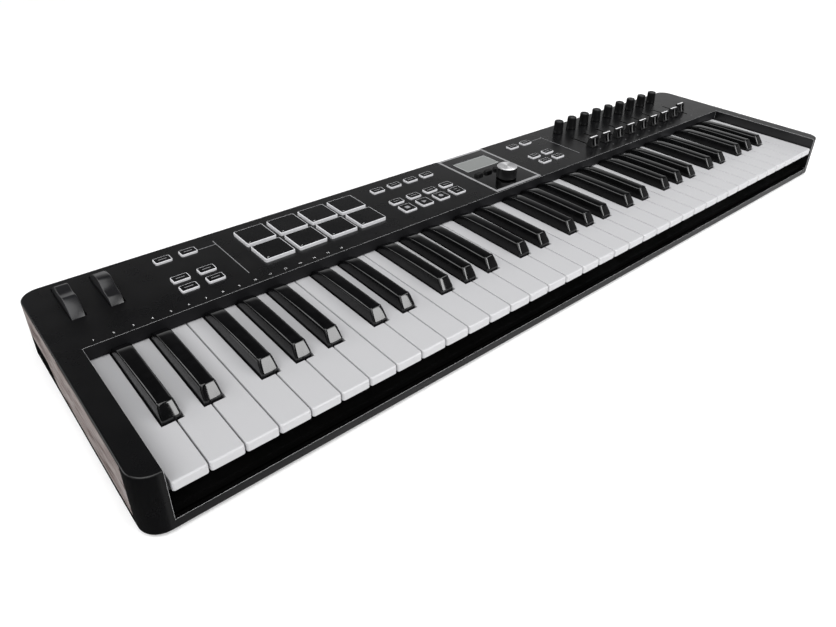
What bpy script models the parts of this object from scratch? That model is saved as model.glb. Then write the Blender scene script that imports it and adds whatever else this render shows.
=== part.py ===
"""Sixty-one key controller keyboard, built as separate pieces around one case.

Lengths are in millimetres until they are written into a mesh.  Plan positions are
measured from the lowest key: x from its left edge, y from its front edge, and heights
from the surface the feet stand on.  The origin of the model is the middle of its base.
"""
import math

import bmesh
import bpy

MM = 0.001

# ---------------------------------------------------------------- driving dimensions
NATURAL_PITCH = 23.5            # one natural key to the next
OCTAVES = 5                     # and one more natural on top
NATURALS = 7 * OCTAVES + 1
KEYS_WIDTH = NATURALS * NATURAL_PITCH
KEY_SIDE_GAP = 1.8              # last key to the end block
END_BLOCK = 17.7                # width of the block beside the keys
CASE_FRONT = -0.4               # case face, just ahead of the key fronts
CASE_DEPTH = 241.0
PANEL_TOP = 51.0
FLOOR_BOTTOM = 2.9
FLOOR_TOP = 5.4
SKIN = 2.5                      # moulded wall thickness
CORNER = 15.0                   # plan radius of the case corners
EDGE = 1.2                      # chamfer round the top edge
GAP = 0.3                       # between pieces that touch

CASE_LEFT = -KEY_SIDE_GAP - END_BLOCK
CASE_RIGHT = KEYS_WIDTH + KEY_SIDE_GAP + END_BLOCK
CASE_REAR = CASE_FRONT + CASE_DEPTH
PANEL_FRONT = 139.8             # panel wall over the keys
PANEL_UNDER = PANEL_TOP - SKIN
LIP_TOP = 10.3                  # rail that closes the case under the key fronts
LIP_DEPTH = 3.4

# keys
KEY_TOP = 38.6
KEY_LIP = 31.5                  # lower edge of a natural's front face
KEY_LIP_DEPTH = 7.0
NATURAL_BOTTOM = 26.0
SHARP_BOTTOM = 28.0
SHARP_TOP = 50.4
SHARP_FRONT = 48.0
SHARP_WIDTH = 13.7
KEY_GAP = 0.45                  # from a key's side to the line it shares
KEY_ROOM = 0.8                  # between a natural's top and the panel's front wall
KEY_REAR = 146.0
RAIL_FRONT, RAIL_REAR = 152.0, 164.0
HINGE_Y = (RAIL_FRONT + RAIL_REAR) / 2
RAIL_THICK = 2.6
RAIL_STEP = 3.6                 # one comb's rail above the next
RAIL_Z = {"low": NATURAL_BOTTOM, "mid": NATURAL_BOTTOM + RAIL_STEP,
          "high": NATURAL_BOTTOM + 2 * RAIL_STEP}

# wheels
WHEEL_X = (8.0, 36.0)
WHEEL_Y = 205.5
WHEEL_R = 31.0
WHEEL_Z = 31.6
WHEEL_HALF = 5.0
SLOT_HALF_X, SLOT_HALF_Y = 5.7, 26.4
AXLE_R = 2.5

# pads and buttons
PAD_X0, PAD_Y0, PAD_PITCH, PAD_SIZE, PAD_TOP = 152.0, 163.7, 32.8, 28.2, 54.0
BUTTON_LONG, BUTTON_DEEP, BUTTON_TOP = 14.3, 9.2, 52.7
SQUARE_DEEP = 14.4              # the transport buttons in the front row are nearly square
LEFT_BUTTON_X, LEFT_BUTTON_Y = (86.1, 108.2), (167.1, 183.8, 220.2)
RIGHT_BUTTON_X, RIGHT_BUTTON_Y = (510.3, 532.9), (166.5, 183.3, 218.8)
TRANSPORT_X0, TRANSPORT_PITCH, TRANSPORTS = 308.9, 21.9, 4
TOP_ROW_Y, MIDDLE_ROW_Y, SQUARE_ROW_Y = 219.3, 187.0, 169.4
BUTTON_ROOM = 0.4               # round a pad or button where it passes the panel

# knobs and faders
CHANNEL_X0, CHANNEL_PITCH = 594.4, 25.75
CHANNELS = 9
KNOB_Y, KNOB_BASE_R, KNOB_TOP_R, KNOB_TOP = 218.7, 6.2, 5.2, 67.1
KNOB_SHAFT_R, KNOB_BORE_R, KNOB_HOLE_R = 2.5, 3.1, 3.6
FADER_Y0 = 163.0
FADER_REST = (0.0, 0.0, 0.0, 0.0, 0.0, 0.0, 0.0, 2.5, 8.0)
FADER_WIDE, FADER_DEEP, FADER_TOP = 14.0, 10.0, 62.8
FADER_SLOT = (157.0, 198.0)
FADER_SLOT_WIDE = 2.4
STEM_WIDE = 1.4

# display island
ISLAND_X, ISLAND_HALF, ISLAND_FRONT = 441.5, 34.5, 141.8
ISLAND_Z = 49.4                 # floor of the pocket the island lies in
ISLAND_TOP = PANEL_TOP + 0.3
BEZEL_HALF = ISLAND_HALF - 2.6
BEZEL_FRONT, BEZEL_REAR = 145.4, 235.8
LCD_HALF, LCD_FRONT, LCD_REAR = 25.0, 196.8, 223.6
LCD_FLANGE = 3.0                # the module is wider than its window by this much
MENU_BUTTON_Y, MENU_BUTTON_PITCH, MENU_BUTTONS_COUNT = 184.0, 14.0, 4
MENU_BUTTON_LONG, MENU_BUTTON_DEEP, MENU_BUTTON_TOP = 10.0, 6.0, 54.0
DIAL_Y, DIAL_R, DIAL_TOP = 162.2, 11.3, 65.1
DIAL_SHAFT_R, DIAL_BORE_R, DIAL_HOLE_R = 3.0, 3.4, 5.0

# boards
BOARD_THICK = 1.6
PANEL_BOARD_Z = 38.6
MAIN_BOARD_Z = 16.0
SOCKET_REAR = CASE_REAR - 0.4
USB_X, DIN_X, JACK_X, DC_X, LOCK_X = 250.0, 205.0, 165.0, 285.0, 325.0
SOCKET_Z = MAIN_BOARD_Z + BOARD_THICK
JACK_BORE_R = 3.3

# cheeks
CHEEK_THICK = 3.0
CHEEK_FRONT, CHEEK_REAR = 20.0, 226.0
CHEEK_TOP = 48.4
CHEEK_LOW, CHEEK_LOW_REAR = 8.0, 21.3
CHEEK_STEP = (166.0, 183.0)

FOOT_R, FOOT_HEIGHT, FOOT_CHAMFER = 8.0, 2.6, 0.6
FOOT_INSET_X, FOOT_INSET_Y = 45.0, 32.0


# ---------------------------------------------------------------- mesh helpers
def place(x, y, z):
    """A point in plan millimetres, as metres about the middle of the base."""
    return ((x - KEYS_WIDTH / 2) * MM, (y - CASE_FRONT - CASE_DEPTH / 2) * MM, z * MM)


def loft(bm, rings):
    """Close a stack of rings of equal length into one solid, first ring lowest."""
    layers = [[bm.verts.new(place(*p)) for p in ring] for ring in rings]
    count = len(layers[0])
    for low, high in zip(layers, layers[1:]):
        for i in range(count):
            j = (i + 1) % count
            bm.faces.new((low[i], low[j], high[j], high[i]))
    bm.faces.new(layers[0][::-1])
    bm.faces.new(layers[-1])


def add_box(bm, x0, x1, y0, y1, z0, z1):
    corners = ((x0, y0), (x1, y0), (x1, y1), (x0, y1))
    loft(bm, [[(x, y, z) for x, y in corners] for z in (z0, z1)])


def add_prism(bm, outline, z0, z1):
    """Extrude a counter-clockwise plan outline upwards."""
    loft(bm, [[(x, y, z) for x, y in outline] for z in (z0, z1)])


def add_profile(bm, profile, x0, x1):
    """Extrude a side profile of (y, z) points, clockwise seen from +X, along X."""
    loft(bm, [[(x, y, z) for y, z in profile] for x in (x0, x1)])


def circle(x, y, radius, count):
    steps = [2 * math.pi * (i + 0.5) / count for i in range(count)]
    return [(x + radius * math.cos(a), y + radius * math.sin(a)) for a in steps]


def add_round(bm, x, y, stack, count):
    """A turned piece on a vertical axis, from (radius, z) pairs, lowest first."""
    loft(bm, [[(px, py, z) for px, py in circle(x, y, r, count)] for r, z in stack])


def rounded_outline(x0, x1, y0, y1, radius, steps=5):
    """A rectangle with quarter-circle corners, counter-clockwise."""
    points = []
    centres = ((x1 - radius, y0 + radius, -90), (x1 - radius, y1 - radius, 0),
               (x0 + radius, y1 - radius, 90), (x0 + radius, y0 + radius, 180))
    for cx, cy, start in centres:
        for i in range(steps + 1):
            a = math.radians(start + 90 * i / steps)
            points.append((cx + radius * math.cos(a), cy + radius * math.sin(a)))
    return points


def material(name, colour, roughness, metallic=0.0):
    found = bpy.data.materials.get(name)
    if found:
        return found
    made = bpy.data.materials.new(name)
    made.use_nodes = True
    shader = made.node_tree.nodes["Principled BSDF"]
    shader.inputs["Base Color"].default_value = (*colour, 1.0)
    shader.inputs["Roughness"].default_value = roughness
    shader.inputs["Metallic"].default_value = metallic
    made.diffuse_color = (*colour, 1.0)
    return made


def new_object(name, bm, look=None):
    bmesh.ops.recalc_face_normals(bm, faces=bm.faces)
    mesh = bpy.data.meshes.new(name)
    bm.to_mesh(mesh)
    bm.free()
    obj = bpy.data.objects.new(name, mesh)
    bpy.context.collection.objects.link(obj)
    if look:
        mesh.materials.append(look)
    return obj


def combine(obj, tool_bm, operation):
    """Apply one Boolean with a throw-away tool, and keep only its result."""
    tool = new_object("tool", tool_bm)
    modifier = obj.modifiers.new("cut", "BOOLEAN")
    modifier.operation = operation
    modifier.solver = "EXACT"
    modifier.object = tool
    graph = bpy.context.evaluated_depsgraph_get()
    result = bpy.data.meshes.new_from_object(obj.evaluated_get(graph))
    obj.modifiers.clear()
    old = obj.data
    obj.data = result
    bpy.data.meshes.remove(old)
    bpy.data.objects.remove(tool)


def cut(obj, *boxes):
    bm = bmesh.new()
    for box in boxes:
        add_box(bm, *box)
    combine(obj, bm, "DIFFERENCE")


def join(obj, *boxes):
    for box in boxes:
        bm = bmesh.new()
        add_box(bm, *box)
        combine(obj, bm, "UNION")


def cut_round(obj, places, radius, z0, z1, count=16):
    bm = bmesh.new()
    for x, y in places:
        add_round(bm, x, y, ((radius, z0), (radius, z1)), count)
    combine(obj, bm, "DIFFERENCE")


def finish(obj, angle=30):
    """Merge the pieces of each flat face, and shade round faces smooth."""
    bm = bmesh.new()
    bm.from_mesh(obj.data)
    bmesh.ops.dissolve_limit(bm, angle_limit=math.radians(0.2), verts=bm.verts,
                             edges=bm.edges)
    bmesh.ops.triangulate(bm, faces=bm.faces)
    bm.to_mesh(obj.data)
    bm.free()
    obj.data.shade_smooth()
    obj.data.set_sharp_from_angle(angle=math.radians(angle))
    return obj


# ---------------------------------------------------------------- looks
def black_plastic():
    return material("case_black", (0.018, 0.018, 0.020), 0.42)


def dark_plastic():
    return material("wheel_grey", (0.055, 0.055, 0.060), 0.38)


def key_white():
    return material("key_white", (0.78, 0.78, 0.79), 0.32)


def key_black():
    return material("key_black", (0.010, 0.010, 0.011), 0.22)


def rubber():
    return material("black_rubber", (0.020, 0.020, 0.021), 0.75)


def grey_silicone():
    return material("grey_silicone", (0.50, 0.50, 0.50), 0.55)


def steel():
    return material("zinc_steel", (0.60, 0.60, 0.62), 0.35, 1.0)


def circuit_green():
    return material("circuit_green", (0.020, 0.110, 0.045), 0.45)


def satin_silver():
    return material("satin_silver", (0.62, 0.62, 0.64), 0.30, 1.0)


def wood():
    return material("cheek_wood", (0.30, 0.23, 0.20), 0.50)


# ---------------------------------------------------------------- layout
def sharp_centres():
    """x of each sharp from its octave's start; the tails in each group are equal."""
    low = (3 * NATURAL_PITCH - 2 * SHARP_WIDTH) / 3
    high = (4 * NATURAL_PITCH - 3 * SHARP_WIDTH) / 4
    half = SHARP_WIDTH / 2
    group = 3 * NATURAL_PITCH
    first = [low + half, 2 * low + SHARP_WIDTH + half]
    second = [group + n * high + (n - 1) * SHARP_WIDTH + half for n in (1, 2, 3)]
    return first + second


def natural_tail(step):
    """Left and right side of a natural's narrow rear part, from its octave's start."""
    half = SHARP_WIDTH / 2
    left, right = step * NATURAL_PITCH, (step + 1) * NATURAL_PITCH
    beside_left = [c for c in sharp_centres() if abs(c - left) < half]
    beside_right = [c for c in sharp_centres() if abs(c - right) < half]
    if beside_left:
        left = beside_left[0] + half
    if beside_right:
        right = beside_right[0] - half
    return left, right


def channel_x(index):
    return CHANNEL_X0 + CHANNEL_PITCH * index


def pad_boxes():
    """Two rows of four pads, as (x0, x1, y0, y1)."""
    corners = [(PAD_X0 + PAD_PITCH * c, PAD_Y0 + PAD_PITCH * r) for r in range(2) for c in range(4)]
    return [(x, x + PAD_SIZE, y, y + PAD_SIZE) for x, y in corners]


def button_box(x, y, long=BUTTON_LONG, deep=BUTTON_DEEP):
    return (x - long / 2, x + long / 2, y - deep / 2, y + deep / 2)


def widened(box, room=BUTTON_ROOM):
    x0, x1, y0, y1 = box
    return (x0 - room, x1 + room, y0 - room, y1 + room)


LEFT_BUTTONS = [button_box(x, y) for y in LEFT_BUTTON_Y for x in LEFT_BUTTON_X]
RIGHT_BUTTONS = [button_box(x, y) for y in RIGHT_BUTTON_Y for x in RIGHT_BUTTON_X]
TRANSPORT_X = [TRANSPORT_X0 + TRANSPORT_PITCH * n for n in range(TRANSPORTS)]
TRANSPORT_BUTTONS = ([button_box(x, TOP_ROW_Y) for x in TRANSPORT_X]
                     + [button_box(x, MIDDLE_ROW_Y) for x in TRANSPORT_X]
                     + [button_box(x, SQUARE_ROW_Y, BUTTON_LONG, SQUARE_DEEP) for x in TRANSPORT_X])
MENU_X = [ISLAND_X + MENU_BUTTON_PITCH * (n - (MENU_BUTTONS_COUNT - 1) / 2)
          for n in range(MENU_BUTTONS_COUNT)]
MENU_BUTTONS = [button_box(x, MENU_BUTTON_Y, MENU_BUTTON_LONG, MENU_BUTTON_DEEP) for x in MENU_X]


# ---------------------------------------------------------------- case
def make_case_block():
    """The top case before it is hollowed: round corners in plan, a chamfered top edge."""
    wide = rounded_outline(CASE_LEFT, CASE_RIGHT, CASE_FRONT, CASE_REAR, CORNER)
    top = rounded_outline(CASE_LEFT + EDGE, CASE_RIGHT - EDGE, CASE_FRONT + EDGE,
                          CASE_REAR - EDGE, CORNER - EDGE)
    bm = bmesh.new()
    loft(bm, [[(x, y, FLOOR_BOTTOM + GAP) for x, y in wide],
              [(x, y, PANEL_TOP - EDGE) for x, y in wide], [(x, y, PANEL_TOP) for x, y in top]])
    return new_object("top_case", bm, black_plastic())


def make_top_case():
    """One moulding: panel, end blocks, rear wall and the rail under the key fronts."""
    case = make_case_block()
    inner_left, inner_right = -KEY_SIDE_GAP, KEYS_WIDTH + KEY_SIDE_GAP
    cut(case, (inner_left, inner_right, CASE_FRONT - 5, PANEL_FRONT, LIP_TOP, PANEL_TOP + 5))
    cut(case, (inner_left, inner_right, CASE_FRONT + LIP_DEPTH, PANEL_FRONT + 1, -5, LIP_TOP + 1))
    wall = CHEEK_THICK + GAP + SKIN
    left, right = CASE_LEFT + wall, CASE_RIGHT - wall
    rear = CASE_REAR - SKIN
    cut(case, (left, right, PANEL_FRONT + SKIN, rear, -5, PANEL_UNDER))
    front = CASE_FRONT + LIP_DEPTH
    cut(case, (left, inner_left - SKIN, front, PANEL_FRONT + SKIN + 1, -5, PANEL_UNDER),
        (inner_right + SKIN, right, front, PANEL_FRONT + SKIN + 1, -5, PANEL_UNDER))
    # room for the floor inside the walls
    cut(case, (left, right, front, rear, -5, FLOOR_TOP + GAP))
    # space for the hinge end of the keys under the panel's front wall
    cut(case, (inner_left, inner_right, PANEL_FRONT - 1, PANEL_FRONT + SKIN + 1, -5,
               KEY_TOP + KEY_ROOM))
    # pockets for the cheeks, open downwards
    low, high = CHEEK_FRONT - GAP, CHEEK_REAR + GAP
    depth = CHEEK_THICK + GAP
    cut(case, (CASE_LEFT - 5, CASE_LEFT + depth, low, high, -5, CHEEK_TOP + GAP),
        (CASE_RIGHT - depth, CASE_RIGHT + 5, low, high, -5, CHEEK_TOP + GAP))
    cut(case, (CASE_LEFT - 5, CASE_LEFT + wall + 1, low, high, -5, CHEEK_LOW),
        (CASE_RIGHT - wall - 1, CASE_RIGHT + 5, low, high, -5, CHEEK_LOW))
    cut_panel(case)
    cut_rear(case)
    return finish(case)


def cut_panel(case):
    """Every opening through the panel."""
    low, high = PANEL_UNDER - 3, PANEL_TOP + 5
    slots = [(x - SLOT_HALF_X, x + SLOT_HALF_X, WHEEL_Y - SLOT_HALF_Y, WHEEL_Y + SLOT_HALF_Y)
             for x in WHEEL_X]
    half = FADER_SLOT_WIDE / 2
    slots += [(channel_x(n) - half, channel_x(n) + half, *FADER_SLOT) for n in range(CHANNELS)]
    slots += [widened(box) for box in pad_boxes() + LEFT_BUTTONS + TRANSPORT_BUTTONS + RIGHT_BUTTONS]
    cut(case, *[(*slot, low, high) for slot in slots])
    cut_round(case, [(channel_x(n), KNOB_Y) for n in range(CHANNELS)], KNOB_HOLE_R, low, high, 12)
    # pocket of the display island, and the way through it for what it carries
    cut(case, (ISLAND_X - ISLAND_HALF - GAP, ISLAND_X + ISLAND_HALF + GAP,
               ISLAND_FRONT - GAP, CASE_REAR + 5, ISLAND_Z, high))
    cut(case, (ISLAND_X - BEZEL_HALF + 2, ISLAND_X + BEZEL_HALF - 2, MENU_BUTTON_Y - 7,
               LCD_REAR + LCD_FLANGE + 2, low, high))
    cut_round(case, [(ISLAND_X, DIAL_Y)], DIAL_HOLE_R, low, high, 16)


def cut_rear(case):
    """Socket openings in the rear wall."""
    y0, y1 = CASE_REAR - SKIN - 1, CASE_REAR + 1
    cut(case, (USB_X - 6.4, USB_X + 6.4, y0, y1, SOCKET_Z - 1.2, SOCKET_Z + 11.4),
        (DIN_X - 10.4, DIN_X + 10.4, y0, y1, SOCKET_Z - 1.2, SOCKET_Z + 20.4),
        (JACK_X - 8.4, JACK_X + 8.4, y0, y1, SOCKET_Z - 1.2, SOCKET_Z + 15.4),
        (DC_X - 4.9, DC_X + 4.9, y0, y1, SOCKET_Z - 1.2, SOCKET_Z + 11.4),
        (LOCK_X - 3.6, LOCK_X + 3.6, y0, y1, SOCKET_Z + 3.0, SOCKET_Z + 6.2))


def make_bottom_case():
    """Floor inside the top case's walls, side rims under the cheeks, posts and saddles."""
    bm = bmesh.new()
    wall = CHEEK_THICK + GAP + SKIN + GAP
    left, right = CASE_LEFT + wall, CASE_RIGHT - wall
    rear = CASE_REAR - SKIN - GAP
    add_box(bm, left, right, CASE_FRONT + LIP_DEPTH + GAP, rear, FLOOR_BOTTOM, FLOOR_TOP)
    case = new_object("bottom_case", bm, black_plastic())
    rim = CHEEK_LOW - GAP
    for side, x0, x1 in ((-1, CASE_LEFT, left + 2), (1, right - 2, CASE_RIGHT)):
        join(case, (x0, x1, CHEEK_FRONT, CHEEK_REAR, FLOOR_BOTTOM, rim))
        outer = CASE_LEFT if side < 0 else CASE_RIGHT - CHEEK_THICK
        bm = bmesh.new()
        profile = [(CHEEK_STEP[0], rim - 0.5), (CHEEK_REAR, rim - 0.5),
                   (CHEEK_REAR, CHEEK_LOW_REAR - GAP), (CHEEK_STEP[1], CHEEK_LOW_REAR - GAP),
                   (CHEEK_STEP[0], rim)]
        add_profile(bm, profile, outer, outer + CHEEK_THICK)
        combine(case, bm, "UNION")
    # posts under the keybed frame
    posts = [(x, y) for x in (40.0, 295.0, 551.0, 806.0) for y in (30.0, 140.0)]
    for x, y in posts:
        bm = bmesh.new()
        add_round(bm, x, y, ((4.0, FLOOR_TOP - 1), (4.0, 10.7)), 8)
        combine(case, bm, "UNION")
    # saddles that carry the wheel axles
    for x in WHEEL_X:
        for side in (-1, 1):
            inner, outer = WHEEL_HALF + 0.8, WHEEL_HALF + 3.0
            x0, x1 = sorted((x + side * inner, x + side * outer))
            join(case, (x0, x1, WHEEL_Y - 5.5, WHEEL_Y + 5.5, FLOOR_TOP - 1, WHEEL_Z + 3.5))
        cut(case, (x - 9, x + 9, WHEEL_Y - AXLE_R - 0.4, WHEEL_Y + AXLE_R + 0.4,
                   WHEEL_Z - AXLE_R - 0.4, WHEEL_Z + 9))
    # posts under the main board
    for x in (150.0, 350.0):
        for y in (192.0, 228.0):
            join(case, (x - 3, x + 3, y - 3, y + 3, FLOOR_TOP - 1, MAIN_BOARD_Z - GAP))
    return finish(case)


def make_cheek(name, x0):
    bm = bmesh.new()
    profile = [(CHEEK_FRONT, CHEEK_LOW), (CHEEK_STEP[0], CHEEK_LOW),
               (CHEEK_STEP[1], CHEEK_LOW_REAR), (CHEEK_REAR, CHEEK_LOW_REAR),
               (CHEEK_REAR, CHEEK_TOP), (CHEEK_FRONT, CHEEK_TOP)]
    add_profile(bm, profile, x0, x0 + CHEEK_THICK)
    return finish(new_object(name, bm, wood()))


def make_feet():
    for front in (True, False):
        for left in (True, False):
            x = CASE_LEFT + FOOT_INSET_X if left else CASE_RIGHT - FOOT_INSET_X
            y = CASE_FRONT + FOOT_INSET_Y if front else CASE_REAR - FOOT_INSET_Y
            bm = bmesh.new()
            add_round(bm, x, y, ((FOOT_R - FOOT_CHAMFER, 0.0), (FOOT_R, FOOT_CHAMFER),
                                 (FOOT_R, FOOT_HEIGHT)), 20)
            name = ("front_" if front else "rear_") + ("left_foot" if left else "right_foot")
            finish(new_object(name, bm, rubber()))


# ---------------------------------------------------------------- keys
def make_natural(bm, start, step):
    """Outline of a natural: full width in front, a tail between the sharps behind."""
    x = start + step * NATURAL_PITCH
    tail_left, tail_right = natural_tail(step)
    left, right = x + KEY_GAP, x + NATURAL_PITCH - KEY_GAP
    tail_left, tail_right = start + tail_left + KEY_GAP, start + tail_right - KEY_GAP
    notch = SHARP_FRONT - 1.0
    outline = [(left, 0.0), (right, 0.0)]
    if tail_right < right - 0.01:
        outline += [(right, notch), (tail_right, notch)]
    outline += [(tail_right, KEY_REAR), (tail_left, KEY_REAR)]
    if tail_left > left + 0.01:
        outline += [(tail_left, notch), (left, notch)]
    add_prism(bm, outline, NATURAL_BOTTOM, KEY_TOP)
    return left, right, tail_left, tail_right


def hollow_natural(obj, span):
    """The shell is open underneath, and its front face is a short lip."""
    left, right, tail_left, tail_right = span
    side, crown = 1.6, KEY_TOP - 2.4
    cut(obj, (left - 1, right + 1, -1, KEY_LIP_DEPTH, NATURAL_BOTTOM - 1, KEY_LIP))
    cut(obj, (left + side, right - side, 2.4, SHARP_FRONT - 3, NATURAL_BOTTOM - 1, crown))
    cut(obj, (tail_left + side, tail_right - side, SHARP_FRONT - 4, KEY_REAR - 8,
              NATURAL_BOTTOM - 1, crown))


def add_rail(obj, span, tails, level):
    """The moulding's rear rail, and a tongue to it from each key."""
    z0 = RAIL_Z[level]
    z1 = z0 + RAIL_THICK
    boxes = [(*span, RAIL_FRONT, RAIL_REAR, z0, z1)]
    boxes += [(left + 0.6, right - 0.6, KEY_REAR - 1.6, RAIL_FRONT + 1, z0 + 0.15, z1 - 0.15)
              for left, right in tails]
    tool = bmesh.new()
    add_box(tool, *boxes[0])
    rail = new_object("rail", tool)
    join(rail, *boxes[1:])
    tool = bmesh.new()
    tool.from_mesh(rail.data)
    bpy.data.objects.remove(rail)
    combine(obj, tool, "UNION")


def make_natural_comb(name, start, steps, level, span):
    bm = bmesh.new()
    sides = [make_natural(bm, start, step) for step in steps]
    comb = new_object(name, bm, key_white())
    for side in sides:
        hollow_natural(comb, side)
    add_rail(comb, span, [(s[2], s[3]) for s in sides], level)
    return finish(comb)


def sharp_ring(x, y, foot, crown, top):
    """One cross-section of a sharp, seen from the front."""
    waist = min(KEY_TOP, top - 0.3)
    return [(x - foot, y, SHARP_BOTTOM), (x + foot, y, SHARP_BOTTOM), (x + foot, y, waist),
            (x + crown, y, top), (x - crown, y, top), (x - foot, y, waist)]


def make_sharp(bm, x):
    foot = SHARP_WIDTH / 2 - 0.25
    crown = 4.9
    dip_start, dip_end = PANEL_FRONT - 13.0, PANEL_FRONT - 1.6
    rings = [sharp_ring(x, SHARP_FRONT, foot, foot - 0.5, KEY_TOP + 1.2),
             sharp_ring(x, SHARP_FRONT + 5.5, foot, crown, SHARP_TOP - 0.6),
             sharp_ring(x, SHARP_FRONT + 9.0, foot, crown, SHARP_TOP),
             sharp_ring(x, dip_start, foot, crown, SHARP_TOP),
             sharp_ring(x, dip_end, foot, crown + 0.8, KEY_TOP + 4.0),
             sharp_ring(x, dip_end + 0.6, foot, foot - 0.2, KEY_TOP - 0.2),
             sharp_ring(x, KEY_REAR, foot, foot - 0.2, KEY_TOP - 0.2)]
    loft(bm, rings)
    return x - foot, x + foot


def make_sharp_comb(name, start, span):
    bm = bmesh.new()
    sides = [make_sharp(bm, start + x) for x in sharp_centres()]
    comb = new_object(name, bm, key_black())
    for left, right in sides:
        cut(comb, (left + 1.8, right - 1.8, SHARP_FRONT + 8, PANEL_FRONT - 15,
                   SHARP_BOTTOM - 1, KEY_TOP + 8))
    add_rail(comb, span, sides, "high")
    return finish(comb)


def make_keys():
    octave = 7 * NATURAL_PITCH
    for n in range(OCTAVES):
        start = n * octave
        span = (start + KEY_GAP, start + octave - KEY_GAP)
        make_natural_comb(f"octave_{n + 1}_naturals_c_e_g_b", start, (0, 2, 4, 6), "low", span)
        make_natural_comb(f"octave_{n + 1}_naturals_d_f_a", start, (1, 3, 5), "mid", span)
        make_sharp_comb(f"octave_{n + 1}_sharps", start, span)
    make_top_key(OCTAVES * octave)


def make_top_key(start):
    left, right = start + KEY_GAP, start + NATURAL_PITCH - KEY_GAP
    bm = bmesh.new()
    add_box(bm, left, right, 0.0, KEY_REAR, NATURAL_BOTTOM, KEY_TOP)
    key = new_object("top_natural_c", bm, key_white())
    hollow_natural(key, (left, right, left, right))
    add_rail(key, (left, right), [(left, right)], "low")
    return finish(key)


def make_keybed():
    """Pressed steel frame, rubber contacts on their board, and the felt the keys land on."""
    bm = bmesh.new()
    low, high = 11.0, 13.0
    riser = (HINGE_Y - 3.5, HINGE_Y + 3.5)
    profile = [(6.0, 8.0), (8.0, 8.0), (8.0, low), (174.0, low), (174.0, high),
               (riser[1], high), (riser[1], NATURAL_BOTTOM - 0.7),
               (riser[0], NATURAL_BOTTOM - 0.7), (riser[0], high), (6.0, high)]
    add_profile(bm, profile, 0.5, KEYS_WIDTH - 0.5)
    finish(new_object("keybed_frame", bm, steel()))
    bm = bmesh.new()
    add_box(bm, 4.0, KEYS_WIDTH - 4.0, 66.0, 112.0, high + GAP, high + GAP + BOARD_THICK)
    finish(new_object("key_contact_board", bm, circuit_green()))
    bm = bmesh.new()
    base = high + 2 * GAP + BOARD_THICK
    profile = [(72.0, base), (104.0, base), (104.0, base + 1.6), (92.0, base + 1.6),
               (90.0, 20.4), (84.0, 20.4), (82.0, base + 1.6), (72.0, base + 1.6)]
    add_profile(bm, profile, 5.0, KEYS_WIDTH - 5.0)
    finish(new_object("key_contact_rubber", bm, rubber()))
    bm = bmesh.new()
    add_box(bm, 2.0, KEYS_WIDTH - 2.0, 20.0, 38.0, high + GAP, 16.8)
    finish(new_object("key_stop_felt", bm, material("red_felt", (0.30, 0.02, 0.03), 0.95)))


# ---------------------------------------------------------------- wheels
def make_wheel(name, x, dip_angle, front, rear):
    """A sector of a disc on a hub, with a thumb hollow and two stub axles.

    front and rear are how far the rim reaches either way, in degrees from the top.
    """
    hub = 8.0
    steps = 22
    outline = []
    dip_half, dip_depth = 18.0, 3.2
    for i in range(steps + 1):
        angle = front - (front + rear) * i / steps
        away = abs(angle - dip_angle) / dip_half
        radius = WHEEL_R
        if away < 1:
            radius -= dip_depth * math.cos(away * math.pi / 2)
        a = math.radians(angle)
        outline.append((WHEEL_Y - radius * math.sin(a), WHEEL_Z + radius * math.cos(a)))
    under = 360.0 - front - rear - 10.0
    for i in range(6):
        a = math.radians(-rear - 5 - under * i / 5)
        outline.append((WHEEL_Y - hub * math.sin(a), WHEEL_Z + hub * math.cos(a)))
    bm = bmesh.new()
    add_profile(bm, outline, x - WHEEL_HALF, x + WHEEL_HALF)
    wheel = new_object(name, bm, dark_plastic())
    bm = bmesh.new()
    ends = (x - WHEEL_HALF - 2.6, x + WHEEL_HALF + 2.6)
    ring = [(y, z) for y, z in circle(WHEEL_Y, WHEEL_Z, AXLE_R, 12)]
    add_profile(bm, ring, *ends)
    combine(wheel, bm, "UNION")
    return finish(wheel, 35)


# ---------------------------------------------------------------- controls
def make_keypad(name, boxes, top, look, margin=2.0, web_z=(45.0, 46.4)):
    """Keys moulded on one web, which lies under the panel and is wider by the margin."""
    web = (min(b[0] for b in boxes) - margin, max(b[1] for b in boxes) + margin,
           min(b[2] for b in boxes) - margin, max(b[3] for b in boxes) + margin)
    bm = bmesh.new()
    add_box(bm, *web, *web_z)
    pad = new_object(name, bm, look)
    bm = bmesh.new()
    for x0, x1, y0, y1 in boxes:
        wide = rounded_outline(x0, x1, y0, y1, 1.2, 1)
        slim = rounded_outline(x0 + 0.5, x1 - 0.5, y0 + 0.5, y1 - 0.5, 0.9, 1)
        rings = [[(x, y, web_z[1] - 0.7) for x, y in wide], [(x, y, top - 0.6) for x, y in wide],
                 [(x, y, top) for x, y in slim]]
        loft(bm, rings)
    combine(pad, bm, "UNION")
    return finish(pad)


def make_keypads():
    make_keypad("left_keypad", LEFT_BUTTONS, BUTTON_TOP, grey_silicone())
    make_keypad("transport_keypad", TRANSPORT_BUTTONS, BUTTON_TOP, grey_silicone())
    make_keypad("right_keypad", RIGHT_BUTTONS, BUTTON_TOP, grey_silicone())
    make_keypad("menu_keypad", MENU_BUTTONS, MENU_BUTTON_TOP, rubber(), 1.5)
    make_keypad("drum_pad_mat", pad_boxes(), PAD_TOP, grey_silicone(), 3.0, (44.0, 46.0))


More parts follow.
